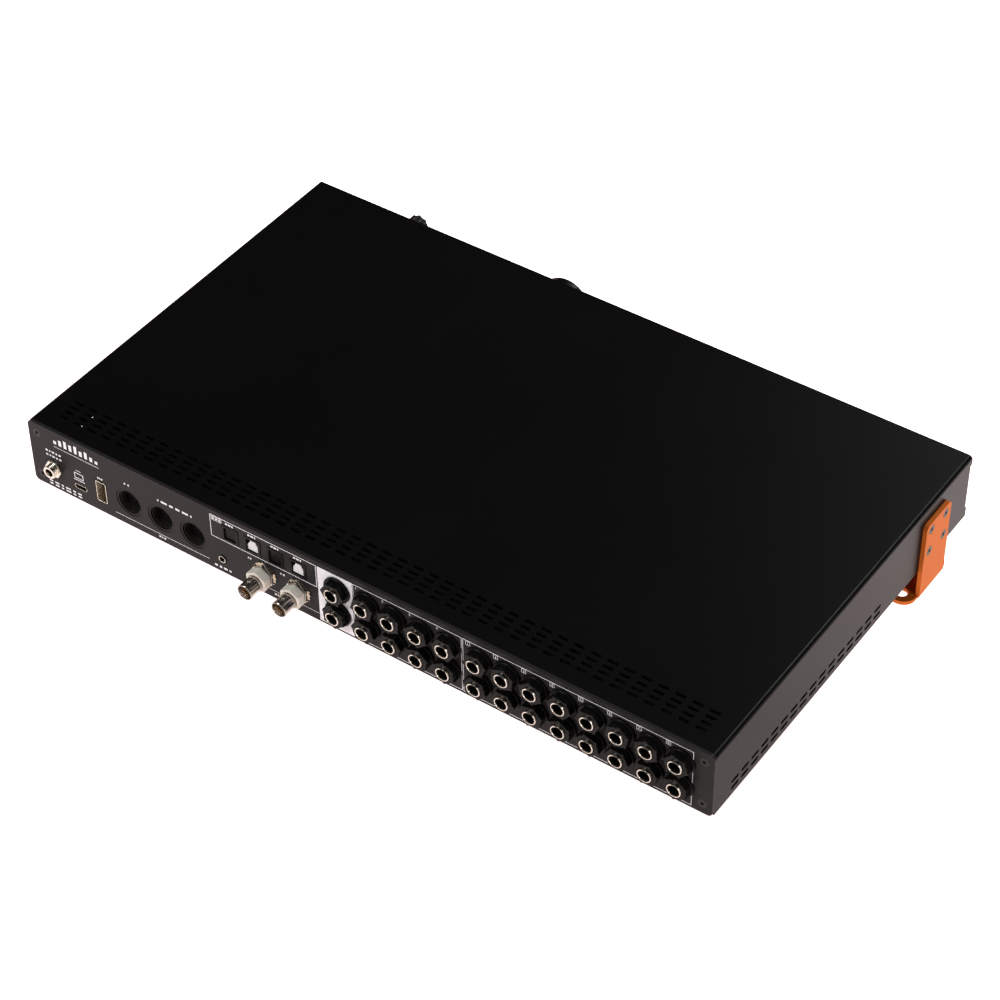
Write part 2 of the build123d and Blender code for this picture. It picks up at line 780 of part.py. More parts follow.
def knob_shaft(x, z, tip_y, end_y):
    """Round shaft from inside its knob to inside its body."""
    return rod(x, z, tip_y, end_y, shaft_radius)


def encoder_shaft():
    """Shaft of the push encoder."""
    tip_y = front_y - main_knob_proud + 3
    return knob_shaft(encoder_x, case_bottom + middle_height, tip_y, face_y + 11)


def main_knob():
    """Large plain knob with a softened front edge."""
    z = case_bottom + middle_height
    tip_y = front_y - main_knob_proud
    knob = rod(encoder_x, z, tip_y, front_y - knob_clearance, main_knob_radius)
    knob = fillet(knob.edges().group_by(Axis.Y)[0], 1.2)
    return knob - rod(encoder_x, z, tip_y + 3, face_y, shaft_radius)


def phones_pot_body():
    """Square body of the headphone level control."""
    z = case_bottom + phones_height
    x = phones_x
    body = block(x - 5, x + 5, face_y + 8, front_board_y, z - 5, z + 5)
    return body - rod(x, z, face_y + 7, face_y + 13, shaft_radius + running_gap)


def phones_shaft():
    """Shaft of the headphone level control."""
    tip_y = front_y - phones_knob_proud + 3
    return knob_shaft(phones_x, case_bottom + phones_height, tip_y, face_y + 12)


def phones_knob():
    """Small knob with eight grip ribs."""
    z = case_bottom + phones_height
    tip_y, back_y = front_y - phones_knob_proud, front_y - knob_clearance
    knob = rod(phones_x, z, tip_y, back_y, phones_knob_radius - 0.7)
    for rib in range(8):
        angle = radians(45 * rib)
        rib_x = phones_x + (phones_knob_radius - 1.3) * cos(angle)
        rib_z = z + (phones_knob_radius - 1.3) * sin(angle)
        knob += rod(rib_x, rib_z, tip_y, back_y, 1.3)
    return knob - rod(phones_x, z, tip_y + 3, face_y, shaft_radius)


def button(x, height):
    """Cap with a flange that holds it behind the panel and a stem that reaches its switch."""
    z = case_bottom + height
    back_y = face_y + front_panel_thickness
    cap = rounded_bar(x, z, face_y - 1.2, back_y + 1.3, button_width, button_tall, 1.25)
    cap = fillet(cap.edges().group_by(Axis.Y)[0], 0.4)
    flange = rounded_bar(x, z, back_y + 0.1, back_y + 1.3, button_width + 2.4, button_tall + 2.4, 1.5)
    return cap + flange + rod(x, z, back_y + 1, face_y + 10.4, 1.5)


def button_switches():
    """Square press switches on the front board, one behind each cap."""
    switches = []
    for x, height in button_places.values():
        z = case_bottom + height
        switches.append(block(x - 3, x + 3, face_y + 11, front_board_y, z - 3, z + 3))
    return join(switches)


def build_nodes():
    """Every named piece of the object."""
    nodes = {
        "base_tray": base_tray(),
        "top_cover": top_cover(),
        "rear_panel": rear_panel(),
        "front_panel": front_panel(),
        "corner_blocks": corner_blocks(),
        "ear_nut_plates": ear_nut_plates(),
        "bracket_right": ear(1),
        "bracket_left": ear(-1),
        "bracket_screws": bracket_screws(),
        "panel_screws": panel_screws(),
        "base_screws": base_screws(),
        "main_board": main_board(),
        "front_board": front_board(),
        "board_standoffs": board_standoffs(),
        "board_screws": board_screws(),
        "ribbon_cable": ribbon_cable(),
        "heat_sink": heat_sink(),
        "main_chips": main_chips(),
        "capacitors": capacitors(),
        "display_window": display_window(),
        "display_module": display_module(),
        "encoder_body": encoder_body(),
        "encoder_plunger": encoder_plunger(),
        "encoder_shaft": encoder_shaft(),
        "main_knob": main_knob(),
        "phones_pot_body": phones_pot_body(),
        "phones_shaft": phones_shaft(),
        "phones_knob": phones_knob(),
        "button_switches": button_switches(),
        "midi_cores": midi_cores(),
        "midi_shells": midi_shells(),
        "usb_c_shell": usb_c_shell(),
        "usb_c_tongue": usb_c_tongue(),
        "usb_a_shell": usb_a_shell(),
        "usb_a_tongue": usb_a_tongue(),
        "dc_jack_body": dc_jack_body(),
        "dc_jack_pin": dc_jack_pin(),
        "mini_jacks": mini_jacks(),
        "optical_housings": optical_housings(),
        "line_jack_housings": line_jack_housings(),
        "line_jack_barrels": line_jack_barrels(),
        "line_jack_nuts": line_jack_nuts(),
        "bnc_shells": bnc_shells(),
        "bnc_collars": bnc_collars(),
        "bnc_nuts": bnc_nuts(),
        "bnc_pins": bnc_pins(),
        "combo_jacks": combo_jacks(),
        "phones_jack": phones_jack(),
    }
    shutters = ("optical_in_1", "optical_out_1", "optical_in_2", "optical_out_2")
    for name, x in zip(shutters, optical_x):
        nodes[f"{name}_shutter"] = shutter(x)
    for name, (x, height) in button_places.items():
        nodes[name] = button(x, height)
    return nodes


os.makedirs("parts", exist_ok=True)
for node_name, shape in build_nodes().items():
    export_step(shape, f"parts/{node_name}.step")
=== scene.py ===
from math import cos, pi, radians, sin

import bpy
from mathutils import Matrix, Vector


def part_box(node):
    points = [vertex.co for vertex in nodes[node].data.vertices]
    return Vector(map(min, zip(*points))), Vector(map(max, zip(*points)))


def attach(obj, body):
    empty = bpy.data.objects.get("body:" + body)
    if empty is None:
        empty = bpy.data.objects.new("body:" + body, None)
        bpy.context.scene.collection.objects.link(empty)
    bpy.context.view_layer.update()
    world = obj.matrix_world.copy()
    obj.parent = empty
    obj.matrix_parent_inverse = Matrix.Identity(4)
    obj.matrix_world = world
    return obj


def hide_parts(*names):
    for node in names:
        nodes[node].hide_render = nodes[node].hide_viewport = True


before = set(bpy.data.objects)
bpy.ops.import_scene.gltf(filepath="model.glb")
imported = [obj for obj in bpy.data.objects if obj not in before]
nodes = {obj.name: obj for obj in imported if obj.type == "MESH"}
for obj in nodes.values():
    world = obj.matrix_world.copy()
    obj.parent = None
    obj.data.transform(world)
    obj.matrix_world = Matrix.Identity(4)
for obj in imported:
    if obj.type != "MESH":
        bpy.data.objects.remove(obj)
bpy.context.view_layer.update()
mm = 0.001


# Camera
# Looks down on the connector side from behind its left end, with a long lens that keeps the
# case's edges nearly parallel.
def camera_axes(azimuth, elevation, roll):
    """Rows right, up and back of a camera turned by azimuth, elevation and roll, in degrees."""
    a, e, r = radians(azimuth), radians(elevation), radians(roll)
    back = Vector((sin(a) * cos(e), -cos(a) * cos(e), sin(e)))
    level = Vector((0, 0, 1)).cross(back).normalized()
    upright = back.cross(level)
    right = cos(r) * level + sin(r) * upright
    up = cos(r) * upright - sin(r) * level
    return Matrix((right, up, back))


axes = camera_axes(215.286, 42.849, -0.743)
offset_in_view = Vector((77.106, 72.112, 1512.685))
rear_bottom_edge = Vector((0, 129.1, 19.8))
camera_data = bpy.data.cameras.new("studio_camera")
camera_data.sensor_width = 36.0
camera_data.lens = 103.67
camera_data.clip_start = 0.05
camera_data.clip_end = 50
camera = bpy.data.objects.new("studio_camera", camera_data)
bpy.context.scene.collection.objects.link(camera)
camera.matrix_world = axes.transposed().to_4x4()
camera.location = (axes.transposed() @ offset_in_view + rear_bottom_edge) * mm
bpy.context.scene.camera = camera


# Floor and lights
# A pale sheet that glows a little, as a lit photographic table does, under a dim room. The unit
# leans back on its turned-under ears and its rear bottom edge, so the sheet passes under both.
def linear(hex_code):
    """sRGB hex to the linear colour that the shaders take."""
    channels = [int(hex_code[i : i + 2], 16) / 255 for i in (1, 3, 5)]
    channels = [c / 12.92 if c <= 0.04045 else ((c + 0.055) / 1.055) ** 2.4 for c in channels]
    return (*channels, 1.0)


def new_finish(name):
    """An empty node material."""
    material = bpy.data.materials.new(name)
    material.use_nodes = True
    material.node_tree.nodes.clear()
    return material


def add_node(material, kind, values=None, links=None):
    """One node with its settings, its sockets' values and what comes into its sockets."""
    node = material.node_tree.nodes.new(kind)
    for name, value in (values or {}).items():
        if name in node.inputs:
            node.inputs[name].default_value = value
        else:
            setattr(node, name, value)
    for name, source in (links or {}).items():
        material.node_tree.links.new(source, node.inputs[name])
    return node


def per_metre(size_mm):
    """Texture scale that gives a pattern of that size, on coordinates in metres."""
    return 1000 / size_mm


ears_rest_y = -71.5
lean = Vector((rear_bottom_edge.y - ears_rest_y, rear_bottom_edge.z))
bpy.ops.object.select_all(action="DESELECT")
bpy.ops.mesh.primitive_plane_add(size=12, location=(0, ears_rest_y * mm, -0.2 * mm))
floor = bpy.context.object
floor.name = "floor"
floor.rotation_euler.x = Vector((1, 0)).angle(lean)
sheet_paper = new_finish("matt_table_sheet")
place = add_node(sheet_paper, "ShaderNodeTexCoord")
mottle = add_node(sheet_paper, "ShaderNodeTexNoise", {"Scale": per_metre(300), "Detail": 2.0},
                  {"Vector": place.outputs["Object"]})
tint = add_node(sheet_paper, "ShaderNodeMixRGB", {"Color1": linear("#989898"), "Color2": linear("#a0a0a0")},
                {"Fac": mottle.outputs["Fac"]})
spot = add_node(sheet_paper, "ShaderNodeSeparateXYZ", {}, {"Vector": place.outputs["Object"]})
across = add_node(sheet_paper, "ShaderNodeMapRange",
                  {"From Min": -0.22, "From Max": 0.25, "To Min": 0.0, "To Max": 0.4},
                  {"Value": spot.outputs["X"]})
along = add_node(sheet_paper, "ShaderNodeMapRange",
                 {"From Min": 0.13, "From Max": -0.08, "To Min": 1.12, "To Max": 2.0},
                 {"Value": spot.outputs["Y"]})
glow = add_node(sheet_paper, "ShaderNodeMath", {"operation": "ADD"})
sheet_paper.node_tree.links.new(across.outputs["Result"], glow.inputs[0])
sheet_paper.node_tree.links.new(along.outputs["Result"], glow.inputs[1])
paper = add_node(sheet_paper, "ShaderNodeBsdfPrincipled",
                 {"Roughness": 0.9, "Specular IOR Level": 0.2, "Emission Color": linear("#ffedea")},
                 {"Base Color": tint.outputs["Color"], "Emission Strength": glow.outputs["Value"]})
add_node(sheet_paper, "ShaderNodeOutputMaterial", {}, {"Surface": paper.outputs["BSDF"]})
floor.data.materials.append(sheet_paper)

room = bpy.data.worlds.new("dim_room")
room.use_nodes = True
room.node_tree.nodes["Background"].inputs["Color"].default_value = linear("#ffffff")
room.node_tree.nodes["Background"].inputs["Strength"].default_value = 0.03
bpy.context.scene.world = room
bpy.context.scene.view_settings.view_transform = "Standard"


def softbox(name, towards, distance, width, height, power):
    """A rectangular lamp that faces the unit from one direction."""
    lamp = bpy.data.lights.new(name, "AREA")
    lamp.shape = "RECTANGLE"
    lamp.size, lamp.size_y = width, height
    lamp.energy = power
    lamp_object = bpy.data.objects.new(name, lamp)
    bpy.context.scene.collection.objects.link(lamp_object)
    direction = Vector(towards).normalized()
    lamp_object.location = direction * distance
    lamp_object.rotation_euler = direction.to_track_quat("Z", "Y").to_euler()


softbox("back_light", (0.06, -0.79, 0.61), 2.0, 0.5, 0.35, 3.6)
softbox("edge_light", (-0.2, -0.6, 0.77), 1.8, 0.2, 0.2, 13)
softbox("connector_light", (0.4, 0.7, 0.58), 2.0, 0.5, 0.4, 21)
softbox("side_light", (-0.9, 0.1, 0.42), 2.0, 0.8, 0.8, 10)


# Tray
# The case's bottom, a shallow tray of 1.2 mm steel bent up along its sides and powder coated
# satin black. The cover slides over it, and countersunk screws come up through it.
def only(piece):
    """Selects that one object."""
    if bpy.context.object and bpy.context.object.mode != "OBJECT":
        bpy.ops.object.mode_set(mode="OBJECT")
    bpy.ops.object.select_all(action="DESELECT")
    piece.select_set(True)
    bpy.context.view_layer.objects.active = piece


def apply_modifier(piece, kind, **values):
    """Adds one modifier and applies it."""
    only(piece)
    modifier = piece.modifiers.new(kind.lower(), kind)
    for name, value in values.items():
        setattr(modifier, name, value)
    bpy.ops.object.modifier_apply(modifier=modifier.name)


def round_edges(piece, width, sharper_than=40, segments=2):
    """Rounds every sharp edge and keeps the broad faces flat to the light."""
    apply_modifier(piece, "BEVEL", width=width * mm, segments=segments, limit_method="ANGLE",
                   angle_limit=radians(sharper_than), use_clamp_overlap=True)
    only(piece)
    bpy.ops.object.shade_smooth_by_angle(angle=radians(40))
    apply_modifier(piece, "WEIGHTED_NORMAL", weight=100, keep_sharp=True)


def own_copy(source, name):
    """A copy with its own mesh and none of the frame's marks."""
    piece = source.copy()
    piece.data = source.data.copy()
    piece.name = name
    for key in list(piece.keys()):
        del piece[key]
    piece.parent = None
    bpy.context.scene.collection.objects.link(piece)
    return piece


def softened(node_name, width, new_name, segments=2, joins_at=()):
    """A copy of a folded, moulded or machined piece with its edges rounded, and its bands made one."""
    piece = own_copy(nodes[node_name], new_name)
    piece.data.materials.clear()
    only(piece)
    bpy.ops.object.mode_set(mode="EDIT")
    bpy.ops.mesh.select_all(action="SELECT")
    bpy.ops.mesh.remove_doubles(threshold=0.002 * mm)
    bpy.ops.mesh.select_mode(type="FACE")
    bpy.ops.mesh.select_all(action="DESELECT")
    bpy.ops.object.mode_set(mode="OBJECT")
    for face in piece.data.polygons:
        face.select = any(abs(face.center.x - x * mm) < 0.001 * mm for x in joins_at)
    bpy.ops.object.mode_set(mode="EDIT")
    bpy.ops.mesh.delete(type="FACE")
    bpy.ops.mesh.select_mode(type="VERT")
    bpy.ops.mesh.select_all(action="SELECT")
    bpy.ops.mesh.dissolve_limited(angle_limit=radians(0.5))
    bpy.ops.object.mode_set(mode="OBJECT")
    round_edges(piece, width, segments=segments)
    return piece


def settle(piece, material, body, slot_name, *stands_for):
    """Puts a finished piece's place into its mesh and hands it to its body."""
    only(piece)
    bpy.ops.object.transform_apply(location=True, rotation=True, scale=True)
    piece.data.materials.clear()
    piece.data.materials.append(material)
    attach(piece, body)
    if stands_for:
        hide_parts(*stands_for)


def finish_nodes(material, *node_names):
    """Gives carried-over pieces their finish."""
    for node_name in node_names:
        nodes[node_name].data.materials.clear()
        nodes[node_name].data.materials.append(material)


# Baked polyester powder on steel: a near black with a soft sheen, and an orange peel about
# 1 mm across, drawn at 1.6 mm so that it shows.
black_coat = new_finish("satin_black_powder_coat")
place = add_node(black_coat, "ShaderNodeTexCoord")
cloud = add_node(black_coat, "ShaderNodeTexNoise", {"Scale": per_metre(90), "Detail": 3.0},
                 {"Vector": place.outputs["Object"]})
tint = add_node(black_coat, "ShaderNodeMixRGB", {"Color1": linear("#0a0a0a"), "Color2": linear("#0f0e0e")},
                {"Fac": cloud.outputs["Fac"]})
peel = add_node(black_coat, "ShaderNodeTexNoise", {"Scale": per_metre(1.6), "Detail": 2.0},
                {"Vector": place.outputs["Object"]})
relief = add_node(black_coat, "ShaderNodeBump", {"Strength": 0.12, "Distance": 0.00004},
                  {"Height": peel.outputs["Fac"]})
sheen = add_node(black_coat, "ShaderNodeMapRange", {"To Min": 0.3, "To Max": 0.36},
                 {"Value": cloud.outputs["Fac"]})
coat = add_node(black_coat, "ShaderNodeBsdfPrincipled", {"Specular IOR Level": 0.06},
                {"Base Color": tint.outputs["Color"], "Roughness": sheen.outputs["Result"],
                 "Normal": relief.outputs["Normal"]})
add_node(black_coat, "ShaderNodeOutputMaterial", {}, {"Surface": coat.outputs["BSDF"]})

settle(softened("base_tray", 0.12, "folded_tray"), black_coat, "case", "black_steel", "base_tray")


# Boards and what stands on them
# Fibreglass boards under dark green lacquer, on turned steel standoffs. Black epoxy chips, sleeved
# capacitors and a bare extruded aluminium heat sink are soldered or clipped to them.

# Solder lacquer over copper: traces show through it as slightly lighter lines about 2 mm apart.
board_lacquer = new_finish("green_solder_lacquer")
place = add_node(board_lacquer, "ShaderNodeTexCoord")
traces = add_node(board_lacquer, "ShaderNodeTexBrick",
                  {"Scale": per_metre(8), "Mortar Size": 0.03, "Color1": linear("#11402a"),
                   "Color2": linear("#0f3a26"), "Mortar": linear("#2b6a45")},
                  {"Vector": place.outputs["Object"]})
board_face = add_node(board_lacquer, "ShaderNodeBsdfPrincipled", {"Roughness": 0.35},
                      {"Base Color": traces.outputs["Color"]})
add_node(board_lacquer, "ShaderNodeOutputMaterial", {}, {"Surface": board_face.outputs["BSDF"]})
finish_nodes(board_lacquer, "main_board", "front_board")

# Bright turned steel: fine tool rings about 0.3 mm apart blur the shine along them.
bright_steel = new_finish("turned_bright_steel")
place = add_node(bright_steel, "ShaderNodeTexCoord")
rings = add_node(bright_steel, "ShaderNodeTexWave",
                 {"Scale": per_metre(0.6), "Distortion": 1.5, "bands_direction": "Z"},
                 {"Vector": place.outputs["Object"]})
tool_marks = add_node(bright_steel, "ShaderNodeBump", {"Strength": 0.15, "Distance": 0.00002},
                      {"Height": rings.outputs["Fac"]})
tint = add_node(bright_steel, "ShaderNodeMixRGB", {"Color1": linear("#a9a6a1"), "Color2": linear("#bfbcb7")},
                {"Fac": rings.outputs["Fac"]})
steel = add_node(bright_steel, "ShaderNodeBsdfPrincipled", {"Metallic": 1.0, "Roughness": 0.3},
                 {"Base Color": tint.outputs["Color"], "Normal": tool_marks.outputs["Normal"]})
add_node(bright_steel, "ShaderNodeOutputMaterial", {}, {"Surface": steel.outputs["BSDF"]})
finish_nodes(bright_steel, "board_standoffs", "board_screws")

# Moulded epoxy: matt charcoal with a faint mould speckle.
chip_epoxy = new_finish("moulded_black_epoxy")
place = add_node(chip_epoxy, "ShaderNodeTexCoord")
speck = add_node(chip_epoxy, "ShaderNodeTexNoise", {"Scale": per_metre(0.6), "Detail": 4.0},
                 {"Vector": place.outputs["Object"]})
tint = add_node(chip_epoxy, "ShaderNodeMixRGB", {"Color1": linear("#161616"), "Color2": linear("#2a2a2b")},
                {"Fac": speck.outputs["Fac"]})
epoxy = add_node(chip_epoxy, "ShaderNodeBsdfPrincipled", {"Roughness": 0.6},
                 {"Base Color": tint.outputs["Color"]})
add_node(chip_epoxy, "ShaderNodeOutputMaterial", {}, {"Surface": epoxy.outputs["BSDF"]})
finish_nodes(chip_epoxy, "main_chips")

# Shrunk plastic sleeve: glossy dark blue, darker where it is drawn tight.
can_sleeve = new_finish("shrunk_blue_sleeve")
place = add_node(can_sleeve, "ShaderNodeTexCoord")
draw = add_node(can_sleeve, "ShaderNodeTexNoise", {"Scale": per_metre(6), "Detail": 2.0},
                {"Vector": place.outputs["Object"]})
tint = add_node(can_sleeve, "ShaderNodeMixRGB", {"Color1": linear("#101a33"), "Color2": linear("#1d2c52")},
                {"Fac": draw.outputs["Fac"]})
sleeve = add_node(can_sleeve, "ShaderNodeBsdfPrincipled", {"Roughness": 0.3},
                  {"Base Color": tint.outputs["Color"]})
add_node(can_sleeve, "ShaderNodeOutputMaterial", {}, {"Surface": sleeve.outputs["BSDF"]})
finish_nodes(can_sleeve, "capacitors")

# Sawn and extruded aluminium: pale grey, drawn out in streaks along X.
raw_aluminium = new_finish("extruded_aluminium")
place = add_node(raw_aluminium, "ShaderNodeTexCoord")
stretch = add_node(raw_aluminium, "ShaderNodeMapping", {"Scale": (0.05, 1.0, 1.0)},
                   {"Vector": place.outputs["Object"]})
streaks = add_node(raw_aluminium, "ShaderNodeTexNoise", {"Scale": per_metre(0.8), "Detail": 3.0},
                   {"Vector": stretch.outputs["Vector"]})
tint = add_node(raw_aluminium, "ShaderNodeMixRGB", {"Color1": linear("#b9bbbd"), "Color2": linear("#d5d6d7")},
                {"Fac": streaks.outputs["Fac"]})
dull = add_node(raw_aluminium, "ShaderNodeMapRange", {"To Min": 0.3, "To Max": 0.5},
                {"Value": streaks.outputs["Fac"]})
aluminium = add_node(raw_aluminium, "ShaderNodeBsdfPrincipled", {"Metallic": 1.0},
                     {"Base Color": tint.outputs["Color"], "Roughness": dull.outputs["Result"]})
add_node(raw_aluminium, "ShaderNodeOutputMaterial", {}, {"Surface": aluminium.outputs["BSDF"]})
finish_nodes(raw_aluminium, "heat_sink", "corner_blocks")

# Flat cable: grey vinyl moulded in ribs, one to each wire, 1.27 mm apart along X, with painted shade in the grooves
# and a painted highlight on the crests.
cable_vinyl = new_finish("ribbed_grey_vinyl_painted_groove_shade")
place = add_node(cable_vinyl, "ShaderNodeTexCoord")
rib_height_and_groove_shade = add_node(cable_vinyl, "ShaderNodeTexWave", {"Scale": per_metre(1.27 * 6.28), "bands_direction": "X"},
                {"Vector": place.outputs["Object"]})
# Painted shade: the wave that raises the ribs also darkens the grey in the grooves and lightens it on the crests.
tint = add_node(cable_vinyl, "ShaderNodeMixRGB", {"Color1": linear("#6c6c6e"), "Color2": linear("#9c9c9e")},
                {"Fac": rib_height_and_groove_shade.outputs["Fac"]})
groove = add_node(cable_vinyl, "ShaderNodeBump", {"Strength": 0.5, "Distance": 0.0002},
                  {"Height": rib_height_and_groove_shade.outputs["Fac"]})
vinyl = add_node(cable_vinyl, "ShaderNodeBsdfPrincipled", {"Roughness": 0.5},
                 {"Base Color": tint.outputs["Color"], "Normal": groove.outputs["Normal"]})
add_node(cable_vinyl, "ShaderNodeOutputMaterial", {}, {"Surface": vinyl.outputs["BSDF"]})
finish_nodes(cable_vinyl, "ribbon_cable")


# Connector plate
# A full-size 2 mm steel plate screwed over the case's rear end, powder coated dark grey, with
# every connector's cut-out punched in it and a rounded outer edge that catches the light.

# The same baked powder in dark grey, with the orange peel drawn at 1.2 mm.
grey_coat = new_finish("satin_grey_powder_coat")
place = add_node(grey_coat, "ShaderNodeTexCoord")
cloud = add_node(grey_coat, "ShaderNodeTexNoise", {"Scale": per_metre(60), "Detail": 3.0},
                 {"Vector": place.outputs["Object"]})
tint = add_node(grey_coat, "ShaderNodeMixRGB", {"Color1": linear("#242223"), "Color2": linear("#2a2728")},
                {"Fac": cloud.outputs["Fac"]})
peel = add_node(grey_coat, "ShaderNodeTexNoise", {"Scale": per_metre(1.2), "Detail": 2.0},
                {"Vector": place.outputs["Object"]})
relief = add_node(grey_coat, "ShaderNodeBump", {"Strength": 0.12, "Distance": 0.00004},
                  {"Height": peel.outputs["Fac"]})
coat = add_node(grey_coat, "ShaderNodeBsdfPrincipled", {"Specular IOR Level": 0.06, "Roughness": 0.38},
                {"Base Color": tint.outputs["Color"], "Normal": relief.outputs["Normal"]})
add_node(grey_coat, "ShaderNodeOutputMaterial", {}, {"Surface": coat.outputs["BSDF"]})

band_edges = (22.0, 92.0)
plate = softened("rear_panel", 0.45, "connector_plate", 3, joins_at=band_edges)
settle(plate, grey_coat, "case", "grey_panel", "rear_panel")
panel_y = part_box("rear_panel")[1].y / mm
case_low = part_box("base_tray")[0].z / mm


# Plate printing
# White two-part ink, screen printed: outlines round each group of sockets, a white block behind the
# first pair of jacks, numbers over the inputs and plain bars where the makers print words.
def vertex_at(point):
    """A new mesh of one vertex, open in edit mode."""
    if bpy.context.object and bpy.context.object.mode != "OBJECT":
        bpy.ops.object.mode_set(mode="OBJECT")
    bpy.ops.object.select_all(action="DESELECT")
    bpy.ops.mesh.primitive_plane_add(size=mm, location=(0, 0, 0))
    bpy.ops.object.mode_set(mode="EDIT")
    bpy.ops.mesh.select_all(action="SELECT")
    bpy.ops.mesh.merge(type="CENTER")
    bpy.ops.transform.translate(value=Vector(point) * mm)


def draw_on(points):
    """Extrudes the selected vertex along a row of points, in millimetres."""
    for start, end in zip(points, points[1:]):
        step = (Vector(end) - Vector(start)) * mm
        bpy.ops.mesh.extrude_region_move(TRANSFORM_OT_translate={"value": step})


def closed_loop(points):
    """Draws a closed line and leaves it selected in edit mode."""
    vertex_at(points[0])
    draw_on([*points, points[0]])
    bpy.ops.mesh.select_all(action="SELECT")
    bpy.ops.mesh.remove_doubles(threshold=0.0005 * mm)
    bpy.ops.mesh.select_all(action="SELECT")
    return bpy.context.object


def close_up(name):
    """Turns the new mesh's faces outward and names it."""
    bpy.ops.mesh.select_all(action="SELECT")
    bpy.ops.mesh.normals_make_consistent(inside=False)
    bpy.ops.object.mode_set(mode="OBJECT")
    piece = bpy.context.object
    piece.name = name
    return piece


def plate_from(name, outline, y0, y1):
    """Fills an outline of (x, z) and extrudes it from y0 to y1."""
    closed_loop([(x, y0, z) for x, z in outline])
    bpy.ops.mesh.edge_face_add()
    bpy.ops.mesh.extrude_region_move(TRANSFORM_OT_translate={"value": (0, (y1 - y0) * mm, 0)})
    return close_up(name)


def joined(pieces, name):
    """Joins the shells that make up one piece."""
    only(pieces[0])
    for piece in pieces[1:]:
        piece.select_set(True)
    bpy.ops.object.join()
    pieces[0].name = name
    return pieces[0]


def ring_plate(name, rim, bore, x, z, y0, y1, count):
    """A flat nut, washer or surround whose outline's radius follows the angle."""
    loops = []
    for radius_at in (rim, bore):
        turns = [2 * pi * n / count for n in range(count)]
        loops.append(closed_loop([(x + radius_at(t) * cos(t), y0, z + radius_at(t) * sin(t)) for t in turns]))
    bpy.ops.object.mode_set(mode="OBJECT")
    joined(loops, name)
    bpy.ops.object.mode_set(mode="EDIT")
    bpy.ops.mesh.select_all(action="SELECT")
    bpy.ops.mesh.bridge_edge_loops()
    bpy.ops.mesh.extrude_region_move(TRANSFORM_OT_translate={"value": (0, (y1 - y0) * mm, 0)})
    return close_up(name)


def circle(radius):
    """Outline of a circle for ring_plate."""
    return lambda turn: radius


def polygon(sides, half_width):
    """Outline of a regular polygon for ring_plate, by half its width across flats."""
    return lambda turn: half_width / cos((turn + pi / sides) % (2 * pi / sides) - pi / sides)


ink_low, ink_high = panel_y, panel_y + 0.04


def bar(x0, z0, x1, z1):
    """One printed bar, with heights above the case's bottom."""
    low, high = case_low + z0, case_low + z1
    return plate_from("bar", [(x0, low), (x1, low), (x1, high), (x0, high)], ink_low, ink_high)


def outline_box(x0, z0, x1, z1, line):
    """Four printed bars round a group."""
    return [bar(x0, z1 - line, x1, z1), bar(x0, z0, x1, z0 + line), bar(x0, z0 + line, x0 - line, z1 - line),
            bar(x1 + line, z0 + line, x1, z1 - line)]


def dashes(x0, x1, z, height, lengths):
    """A row of short bars of the given lengths, spread from x0 to x1, in place of a word."""
    spare = (x0 - x1 - sum(lengths)) / (len(lengths) - 1)
    marks, x = [], x0
    for length in lengths:
        marks.append(bar(x, z, x - length, z + height))
        x -= length + spare
    return marks


# A thin, slightly uneven film of ink: the grey under it shows through a little.
white_ink = new_finish("screen_printed_white_ink")
place = add_node(white_ink, "ShaderNodeTexCoord")
film = add_node(white_ink, "ShaderNodeTexNoise", {"Scale": per_metre(1.5), "Detail": 3.0},
                {"Vector": place.outputs["Object"]})
tint = add_node(white_ink, "ShaderNodeMixRGB", {"Color1": linear("#d2d2d6"), "Color2": linear("#e6e6ea")},
                {"Fac": film.outputs["Fac"]})
ink_face = add_node(white_ink, "ShaderNodeBsdfPrincipled", {"Roughness": 0.5},
                    {"Base Color": tint.outputs["Color"]})
add_node(white_ink, "ShaderNodeOutputMaterial", {}, {"Surface": ink_face.outputs["BSDF"]})

print_marks = []
for step, tall in enumerate((2.2, 4.0, 5.2, 4.4, 5.4, 3.6, 4.8, 3.0, 2.0)):
    print_marks.append(bar(203.0 - 3.7 * step, 34.8, 201.0 - 3.7 * step, 34.8 + tall))
print_marks.append(bar(203.0, 32.4, 171.0, 32.7))
for z in (26.5, 23.4):
    print_marks += dashes(210, 199, z, 1.2, (1.6, 1.0, 1.8, 1.2, 1.6))
for z in (4.0, 1.9):
    print_marks += dashes(210.3, 187, z, 1.0, (2.4, 3.0, 1.6, 3.6, 2.0, 2.6))
print_marks += outline_box(190.4, 16.4, 183.9, 20.4, 0.5)
print_marks += [bar(191.1, 14.9, 183.2, 15.4), bar(188.9, 22.0, 185.4, 22.4)]
print_marks += dashes(173.0, 169.4, 24.3, 1.2, (0.9, 0.9, 0.9))
print_marks += dashes(153.4, 149.8, 30.0, 1.3, (0.9, 0.9))
print_marks += dashes(130.0, 106.2, 30.0, 1.3, (0.9, 4.2, 2.6, 3.0, 4.2, 0.9))
print_marks += [bar(162.1, 5.0, 96.5, 5.3)]
print_marks += dashes(131.5, 126.9, 2.6, 1.3, (1.2, 0.6, 1.2))
print_marks += dashes(92.8, 81.4, 2.6, 1.3, (2.0, 1.6, 2.4, 1.4))
print_marks += outline_box(93.2, 24.5, 22.2, 40.3, 0.4) + outline_box(92.2, 36.8, 85.2, 39.7, 0.35)
print_marks += dashes(91.4, 86.0, 37.7, 1.1, (1.3, 1.5, 1.2))
for x in (80.0, 64.9, 49.5, 34.5):
    print_marks += dashes(x + 2.6, x - 2.6, 37.6, 1.2, (1.4, 1.8, 0.9))
print_marks += dashes(68.6, 66.4, 20.6, 1.2, (0.6, 1.0)) + dashes(46.9, 43.9, 20.6, 1.2, (0.9, 1.3))
print_marks += [bar(69.0, 5.4, 22.3, 5.7)]
print_marks += dashes(52.0, 47.0, 2.7, 1.3, (1.6, 1.0, 1.4))
